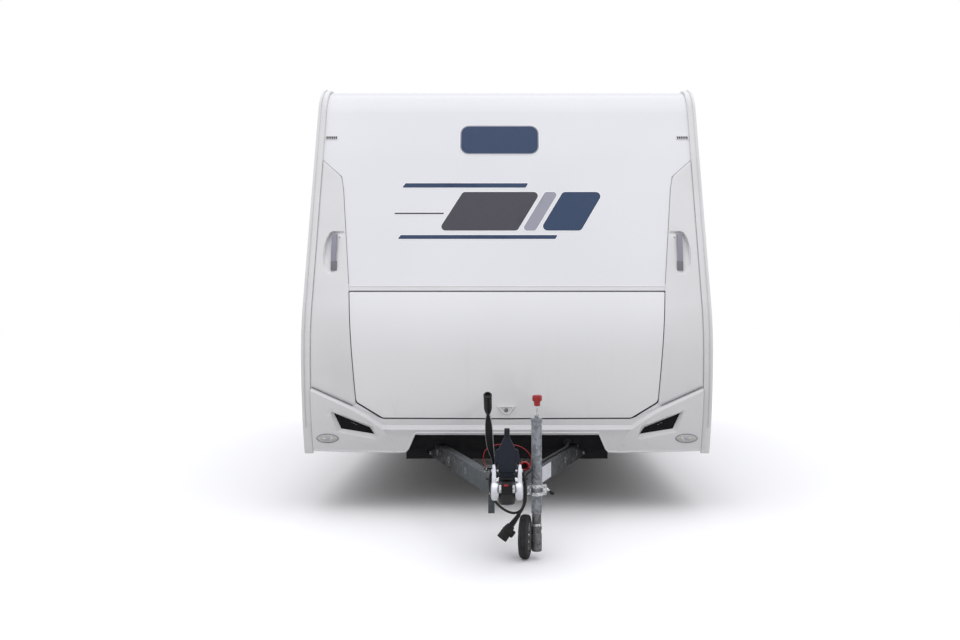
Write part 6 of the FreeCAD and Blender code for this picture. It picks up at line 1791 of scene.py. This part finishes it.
b.lathe([(0, 0.050), (0.006, 0.050), (0.006, 0.036), (0.014, 0.034), (0.014, 0.0)], (1.1375, -0.180, 0.740), (1, 0, 0), 1, 36)
for k in range(3):
    b.torus((1.1375 + 0.0145, -0.180, 0.740), (1, 0, 0), 0.010 + 0.009 * k, 0.0016, 3, 28, 8)
# toilet flap on the door side
ring_prism(b, rr(0.680, 0.780, 1.060, 1.100, 0.020), rr(0.692, 0.792, 1.048, 1.088, 0.014), "X", -1.1420, -1.1375, 0)
b.prism(rr(0.6945, 0.7945, 1.0455, 1.0855, 0.013), "X", -1.1405, -1.1376, 0)
for y in (0.760, 0.980):
    b.lathe([(0, 0.012), (0.003, 0.012), (0.004, 0.010), (0.004, 0)], (-1.1404, y, 0.812), (-1, 0, 0), 1, 20)
    b.box((-1.1460, y - 0.0016, 0.806), (-1.1440, y + 0.0016, 0.818), 3)
    b.lathe([(0, 0.012), (0.003, 0.012), (0.004, 0.010), (0.004, 0)], (-1.1404, y, 1.070), (-1, 0, 0), 1, 20)
# awning socket flap
b.loft([[(-1.1375, y, z) for y, z in rr(1.460, 0.560, 1.570, 0.680, 0.012)], [(-1.1480, y, z) for y, z in rr(1.462, 0.562, 1.568, 0.678, 0.011)]], 0)
b.done()

b = Build("side_reflectors", ["amber_lens", "seal"], "body", "lamp_lens", bevel=0.001)
for sgn in (1, -1):
    for y in (-1.30, 0.30, 1.62, 2.82):
        zc = SKIRT_Z
        t = sgn * 1.150
        lo_, hi_ = (t - 0.0003, t + 0.0016) if sgn > 0 else (t - 0.0016, t + 0.0003)
        b.prism(rr(y - 0.050, zc - 0.019, y + 0.050, zc + 0.019, 0.006), "X", lo_, hi_, 1)
        ra = [(t + sgn * 0.0014, yy, zz) for yy, zz in rr(y - 0.046, zc - 0.015, y + 0.046, zc + 0.015, 0.005)]
        rb = [(t + sgn * 0.0052, yy, zz) for yy, zz in rr(y - 0.044, zc - 0.013, y + 0.044, zc + 0.013, 0.004)]
        b.loft([ra, rb], 0)
b.done()
b = Build("skirt_fixings", ["zinc_bright"], "body", "aluminium_rail")
for sgn in (1, -1):
    for k in range(26):
        y = -1.62 + k * 0.187
        if 0.50 < y < 1.44:
            continue
        b.lathe([(-0.0004, 0.0062), (0.0012, 0.0058), (0.0022, 0.0030), (0.0024, 0.0)], (sgn * 1.150, y, SKIRT_TOP - 0.010), (sgn, 0, 0), 0, 10)
b.done()

# ----------------------------------------------------------------- rear
b = Build("rear_lamp_clusters", ["satin_black", "red_lens", "amber_lens", "clear_lens"], "body", "red_lens", "rear_lamps", bevel=0.0012)
for sgn in (1, -1):
    xs_ = sorted((sgn * 0.802, sgn * 1.058))
    b.prism(rr(xs_[0], 0.402, xs_[1], 0.518, 0.014), "Y", 3.1605, 3.1645, 0)
    for x0_, x1_, m_ in ((0.808, 0.884, 3), (0.888, 0.964, 2), (0.968, 1.052, 1)):
        a_, c_ = sorted((sgn * x0_, sgn * x1_))
        rings = []
        for y, ins in ((3.1640, 0.0), (3.1685, 0.0), (3.1712, 0.0025), (3.1722, 0.010)):
            rings.append([(x, y, z) for x, z in rr(a_ + ins, 0.408 + ins, c_ - ins, 0.512 - ins, 0.010)])
        b.loft(rings, m_)
        for k in range(1, 5):
            z = 0.408 + 0.104 * k / 5
            b.box((a_ + 0.006, 3.1712, z - 0.0012), (c_ - 0.006, 3.1734, z + 0.0012), m_)
b.done()
b = Build("plate_place", ["film_white", "satin_black", "clear_lens"], "body", "trim_white", bevel=0.0012)
yb = REAR_Y
b.prism(rr(-0.262, 0.342, 0.262, 0.456, 0.010), "Y", yb - 0.010, yb + 0.0035, 1)
b.prism(rr(-0.256, 0.348, 0.256, 0.450, 0.008), "Y", yb + 0.0030, yb + 0.0048, 0)
for x in (-0.30, 0.30):
    b.prism(rr(x - 0.022, 0.380, x + 0.022, 0.420, 0.006), "Y", yb - 0.010, yb + 0.012, 1)
    b.prism(rr(x - 0.014, 0.386, x + 0.014, 0.414, 0.004), "Y", yb + 0.0115, yb + 0.0135, 2)
b.done()
b = Build("rear_reflectors", ["red_lens", "seal"], "body", "red_lens", bevel=0.001)
for sgn in (1, -1):
    c0 = sgn * 0.500
    tri = rounded_loop([(c0 - 0.075, 0.350), (c0 + 0.075, 0.350), (c0, 0.478)], [0.008] * 3, 4)
    b.prism(tri, "Y", yb - 0.010, yb + 0.0040, 1)
    cx_, cz_ = c0, 0.393
    b.prism([(mix(cx_, x, 0.86), mix(cz_, z, 0.86)) for x, z in tri], "Y", yb + 0.0035, yb + 0.0065, 0)
b.prism(rr(-0.150, 1.980, 0.150, 2.010, 0.008), "Y", 3.1385, 3.1450, 1)
b.loft([[(x, 3.1445, z) for x, z in rr(-0.144, 1.984, 0.144, 2.006, 0.006)], [(x, 3.1500, z) for x, z in rr(-0.141, 1.987, 0.141, 2.003, 0.005)]], 0)
b.done()
b = Build("rear_handles", ["grey", "zinc_bright"], "body", "grey_plastic", bevel=0.0015)
for sgn in (1, -1):
    x = sgn * 0.90
    b.sweep([(x, 3.140, 0.98), (x, 3.162, 0.985), (x, 3.176, 1.005), (x, 3.178, 1.06), (x, 3.176, 1.115), (x, 3.162, 1.135), (x, 3.140, 1.14)],
            round_rect(0.026, 0.011, 0.004, 3), 0, up=(1, 0, 0))
    for z in (0.972, 1.148):
        b.prism(rr(x - 0.022, z - 0.020, x + 0.022, z + 0.020, 0.008), "Y", 3.1395, 3.1445, 0)
        b.lathe([(0, 0.005), (0.002, 0.004), (0.0025, 0)], (x, 3.1445, z - 0.006 if z < 1.0 else z + 0.006), (0, 1, 0), 1, 12)
b.done()

# ---------------------------------------------------------------- wheels
for side, sgn in (("left", 1), ("right", -1)):
    centre = Vector((sgn * 1.0, 0.970, 0.318))
    body_ = side + "_wheel"
    b = Build(side + "_tread_tyre", ["tyre"], body_, "tyre_rubber", side + "_tyre", bevel=0.0, smooth=34)
    prof = [(-0.0700, 0.1785), (-0.0705, 0.1895), (-0.0760, 0.1905), (-0.0835, 0.1990), (-0.0870, 0.2120), (-0.0905, 0.2300), (-0.0918, 0.2320), (-0.0925, 0.2450), (-0.0924, 0.2560),
            (-0.0912, 0.2640), (-0.0905, 0.2660), (-0.0900, 0.2800), (-0.0880, 0.2880), (-0.0840, 0.2975), (-0.0790, 0.3060), (-0.0740, 0.3105), (-0.0660, 0.3135), (-0.0560, 0.3158), (-0.0540, 0.3155),
            (-0.0530, 0.3085), (-0.0450, 0.3085), (-0.0440, 0.3165), (-0.0300, 0.3175), (-0.0190, 0.3178), (-0.0180, 0.3090), (-0.0110, 0.3090), (-0.0100, 0.3179)]
    prof = prof + [(-x, r) for x, r in reversed(prof)]
    segs = 168
    u = Vector((0, 1, 0))
    w_ = Vector((0, 0, 1))
    verts, rows = [], []
    for j, (x, r) in enumerate(prof):
        row = []
        for k in range(segs):
            a = 2 * math.pi * k / segs
            rad = r
            ax_ = abs(x)
            if 0.0535 < ax_ < 0.0850 and r > 0.292 and k % 6 in (0,):
                rad = r - 0.0065
            if 0.0185 < ax_ < 0.0445 and r > 0.314 and (k + (2 if x > 0 else 0)) % 7 in (0,):
                rad = r - 0.0050
            if ax_ < 0.0105 and r > 0.314 and (k + 3) % 7 == 0:
                rad = r - 0.0035
            row.append(len(verts))
            verts.append(centre + Vector((x, 0, 0)) + (u * math.cos(a) + w_ * math.sin(a)) * rad)
        rows.append(row)
    fs = []
    for r0, r1 in zip(rows, rows[1:] + rows[:1]):
        for k in range(segs):
            k2 = (k + 1) % segs
            fs.append((r0[k], r0[k2], r1[k2], r1[k]))
    b.faces(verts, fs, 0)
    b.done()
    b = Build(side + "_wheel_fittings", ["zinc_bright", "grey", "satin_black", "alloy"], body_, "alloy", bevel=0.0008)
    out = sgn
    # centre cap, five bolts, valve, balance clip
    b.lathe([(-0.004, 0.030), (0.004, 0.030), (0.012, 0.027), (0.0165, 0.020), (0.018, 0.0)], centre + Vector((out * 0.0735, 0, 0)), (out, 0, 0), 1, 40)
    for k in range(5):
        a = 2 * math.pi * k / 5 + 0.31
        c_ = centre + Vector((out * 0.0515, 0.045 * math.cos(a), 0.045 * math.sin(a)))
        b.lathe([(-0.003, 0.0125), (0.002, 0.0125), (0.003, 0.0098), (0.016, 0.0098), (0.0175, 0.0080), (0.0175, 0.0)], c_, (out, 0, 0), 0, 6)
    b.lathe([(-0.004, 0.0055), (0.008, 0.0050), (0.010, 0.0030), (0.028, 0.0030), (0.028, 0.0042), (0.038, 0.0040), (0.0385, 0.0)], centre + Vector((out * 0.030, 0.150, 0.0)), Vector((out, -0.25, 0)), 2, 16)
    b.box(tuple(min(p, q) for p, q in zip(centre + Vector((out * 0.0745, -0.006, 0.1700)), centre + Vector((out * 0.0790, 0.014, 0.1765)))),
          tuple(max(p, q) for p, q in zip(centre + Vector((out * 0.0745, -0.006, 0.1700)), centre + Vector((out * 0.0790, 0.014, 0.1765)))), 0)
    # brake drum behind the disc
    b.lathe([(0.0, 0.0), (0.0, 0.112), (0.004, 0.116), (0.040, 0.116), (0.044, 0.108), (0.044, 0.0)], centre + Vector((-out * 0.060, 0, 0)), (out, 0, 0), 2, 48)
    b.done()

# --------------------------------------------------------------- cushions


def cushion(name, x0, y0, x1, y1, z0, z1, r=0.045, panels=1):
    """Foam cushion: crowned top, sides drawn in between the seams, piping, one mesh."""
    H = z1 - z0
    b = Build(name, ["fabric", "piping"], "body", "upholstery", "cushions", bevel=0.0, smooth=60)
    g = 0.002
    levels = [(0.0, 0.016), (0.003, 0.007), (0.010, 0.0035), (0.018, 0.0030), (0.30 * H, 0.0085), (0.5 * H, 0.0110), (0.70 * H, 0.0085), (H - 0.032, 0.0030), (H - 0.026, 0.0035), (H - 0.020, 0.0075)]
    half = min(x1 - x0, y1 - y0) / 2
    for t, dz in ((0.06, -0.0135), (0.14, -0.0085), (0.26, -0.0045), (0.42, -0.0018), (0.62, -0.0004), (0.84, 0.0)):
        levels.append((H + dz, 0.0075 + t * (half - 0.012)))
    rings = []
    for i, (h, ins) in enumerate(levels):
        lp = round_rect((x1 - x0) - 2 * (ins + g), (y1 - y0) - 2 * (ins + g), max(0.004, r - ins * 0.35), 5)
        ring = []
        for k, (px, py) in enumerate(split_loop(lp, 0.05)):
            ring.append((px, py))
        rings.append(ring)
    n = len(rings[0])
    # every ring is resampled by angle order to the count of the first
    out = []
    for (h, ins), ring in zip(levels, rings):
        peri = [0.0]
        closed = ring + [ring[0]]
        for a_, c_ in zip(closed, closed[1:]):
            peri.append(peri[-1] + math.hypot(c_[0] - a_[0], c_[1] - a_[1]))
        total = peri[-1]
        res, j = [], 0
        for k in range(n):
            s = total * k / n
            while peri[j + 1] < s:
                j += 1
            f = (s - peri[j]) / max(1e-9, peri[j + 1] - peri[j])
            px, py = mix(closed[j][0], closed[j + 1][0], f), mix(closed[j][1], closed[j + 1][1], f)
            wob = 0.0016 * math.sin(7.0 * px + 3.1 * py) + 0.0011 * math.sin(19.0 * py - 5.0 * px + 1.3)
            zz = z0 + h + (wob if 0.3 * H < h < H - 0.001 else 0.0) * (1.0 if ins > 0.0075 else 0.4)
            res.append(((x0 + x1) / 2 + px, (y0 + y1) / 2 + py, min(zz, z1 + 0.001)))
        out.append(res)
    b.loft(out, 0)
    for h, ins in ((0.0145, 0.0016), (H - 0.028, 0.0016)):
        lp = split_loop(round_rect((x1 - x0) - 2 * (ins + g), (y1 - y0) - 2 * (ins + g), r, 5), 0.06)
        path = [Vector(((x0 + x1) / 2 + px, (y0 + y1) / 2 + py, z0 + h)) for px, py in lp]
        m = len(path)
        ringv = []
        for i_ in range(m):
            t = (path[(i_ + 1) % m] - path[i_ - 1]).normalized()
            s_ = Vector((t.y, -t.x, 0))
            ringv.append([path[i_] + s_ * (0.0034 * math.cos(q * math.pi / 3)) + Vector((0, 0, 0.0034 * math.sin(q * math.pi / 3))) for q in range(6)])
        verts = [v for rg in ringv for v in rg]
        fs = []
        for i_ in range(m):
            i2 = (i_ + 1) % m
            for q in range(6):
                q2 = (q + 1) % 6
                fs.append((i_ * 6 + q, i_ * 6 + q2, i2 * 6 + q2, i2 * 6 + q))
        b.faces(verts, fs, 1)
    o = b.done()
    return o


cushion("mattress", -1.090, -1.290, 1.090, -0.130, 0.780, 0.930, 0.06)
cushion("seat_left_front", 0.606, 0.590, 1.094, 1.414, 0.735, 0.855)
cushion("seat_left_middle", 0.606, 1.418, 1.094, 2.242, 0.735, 0.855)
cushion("seat_left_rear", 0.606, 2.246, 1.094, 3.070, 0.735, 0.855)
cushion("seat_right_front", -1.094, 1.394, -0.606, 2.230, 0.735, 0.855)
cushion("seat_right_rear", -1.094, 2.234, -0.606, 3.070, 0.735, 0.855)
cushion("seat_tail_left", 0.002, 2.596, 0.590, 3.070, 0.735, 0.855)
cushion("seat_tail_right", -0.590, 2.596, -0.002, 3.070, 0.735, 0.855)

# ------------------------------------------------------ furniture details
b = Build("kitchen_fittings", ["film_white", "alu", "zinc_bright", "satin_black", "wood"], "body", "trim_white", bevel=0.0015)
for k, (ya, yb_) in enumerate(((-0.044, 0.148), (0.156, 0.348), (0.356, 0.548))):
    for za, zb in ((0.50, 0.98), (0.988, 1.240)):
        b.prism(rr(ya, za, yb_, zb, 0.006, 2), "X", 0.604, 0.6195, 0)
        b.sweep([(0.604, (ya + yb_) / 2 - 0.05, zb - 0.03), (0.592, (ya + yb_) / 2 - 0.046, zb - 0.03), (0.592, (ya + yb_) / 2 + 0.046, zb - 0.03), (0.604, (ya + yb_) / 2 + 0.05, zb - 0.03)],
                circle(0.004, 8), 1, up=(0, 0, 1))
ring_prism(b, rr(0.67, 0.02, 1.02, 0.24, 0.04), rr(0.69, 0.04, 1.00, 0.22, 0.03), "Z", 1.2995, 1.303, 2)
b.prism(rr(0.69, 0.04, 1.00, 0.22, 0.03), "Z", 1.2998, 1.3006, 2)
b.sweep([(1.05, 0.13, 1.300), (1.05, 0.13, 1.42), (1.035, 0.13, 1.450), (1.000, 0.13, 1.462), (0.955, 0.13, 1.450)], circle(0.008, 12), 2, up=(0, 1, 0))
b.prism(rr(0.67, 0.28, 1.02, 0.54, 0.02), "Z", 1.2998, 1.304, 3)
for x, y, r_ in ((0.76, 0.35, 0.038), (0.93, 0.35, 0.030), (0.845, 0.47, 0.045)):
    b.lathe([(0, r_), (0.006, r_), (0.010, r_ * 0.7), (0.010, 0)], (x, y, 1.3035), (0, 0, 1), 3, 24)
    for a in range(4):
        dx, dy = math.cos(a * math.pi / 2 + 0.78), math.sin(a * math.pi / 2 + 0.78)
        b.cyl((x + dx * 0.012, y + dy * 0.012, 1.318), (x + dx * (r_ + 0.022), y + dy * (r_ + 0.022), 1.318), 0.0025, 2, 8)
b.done()
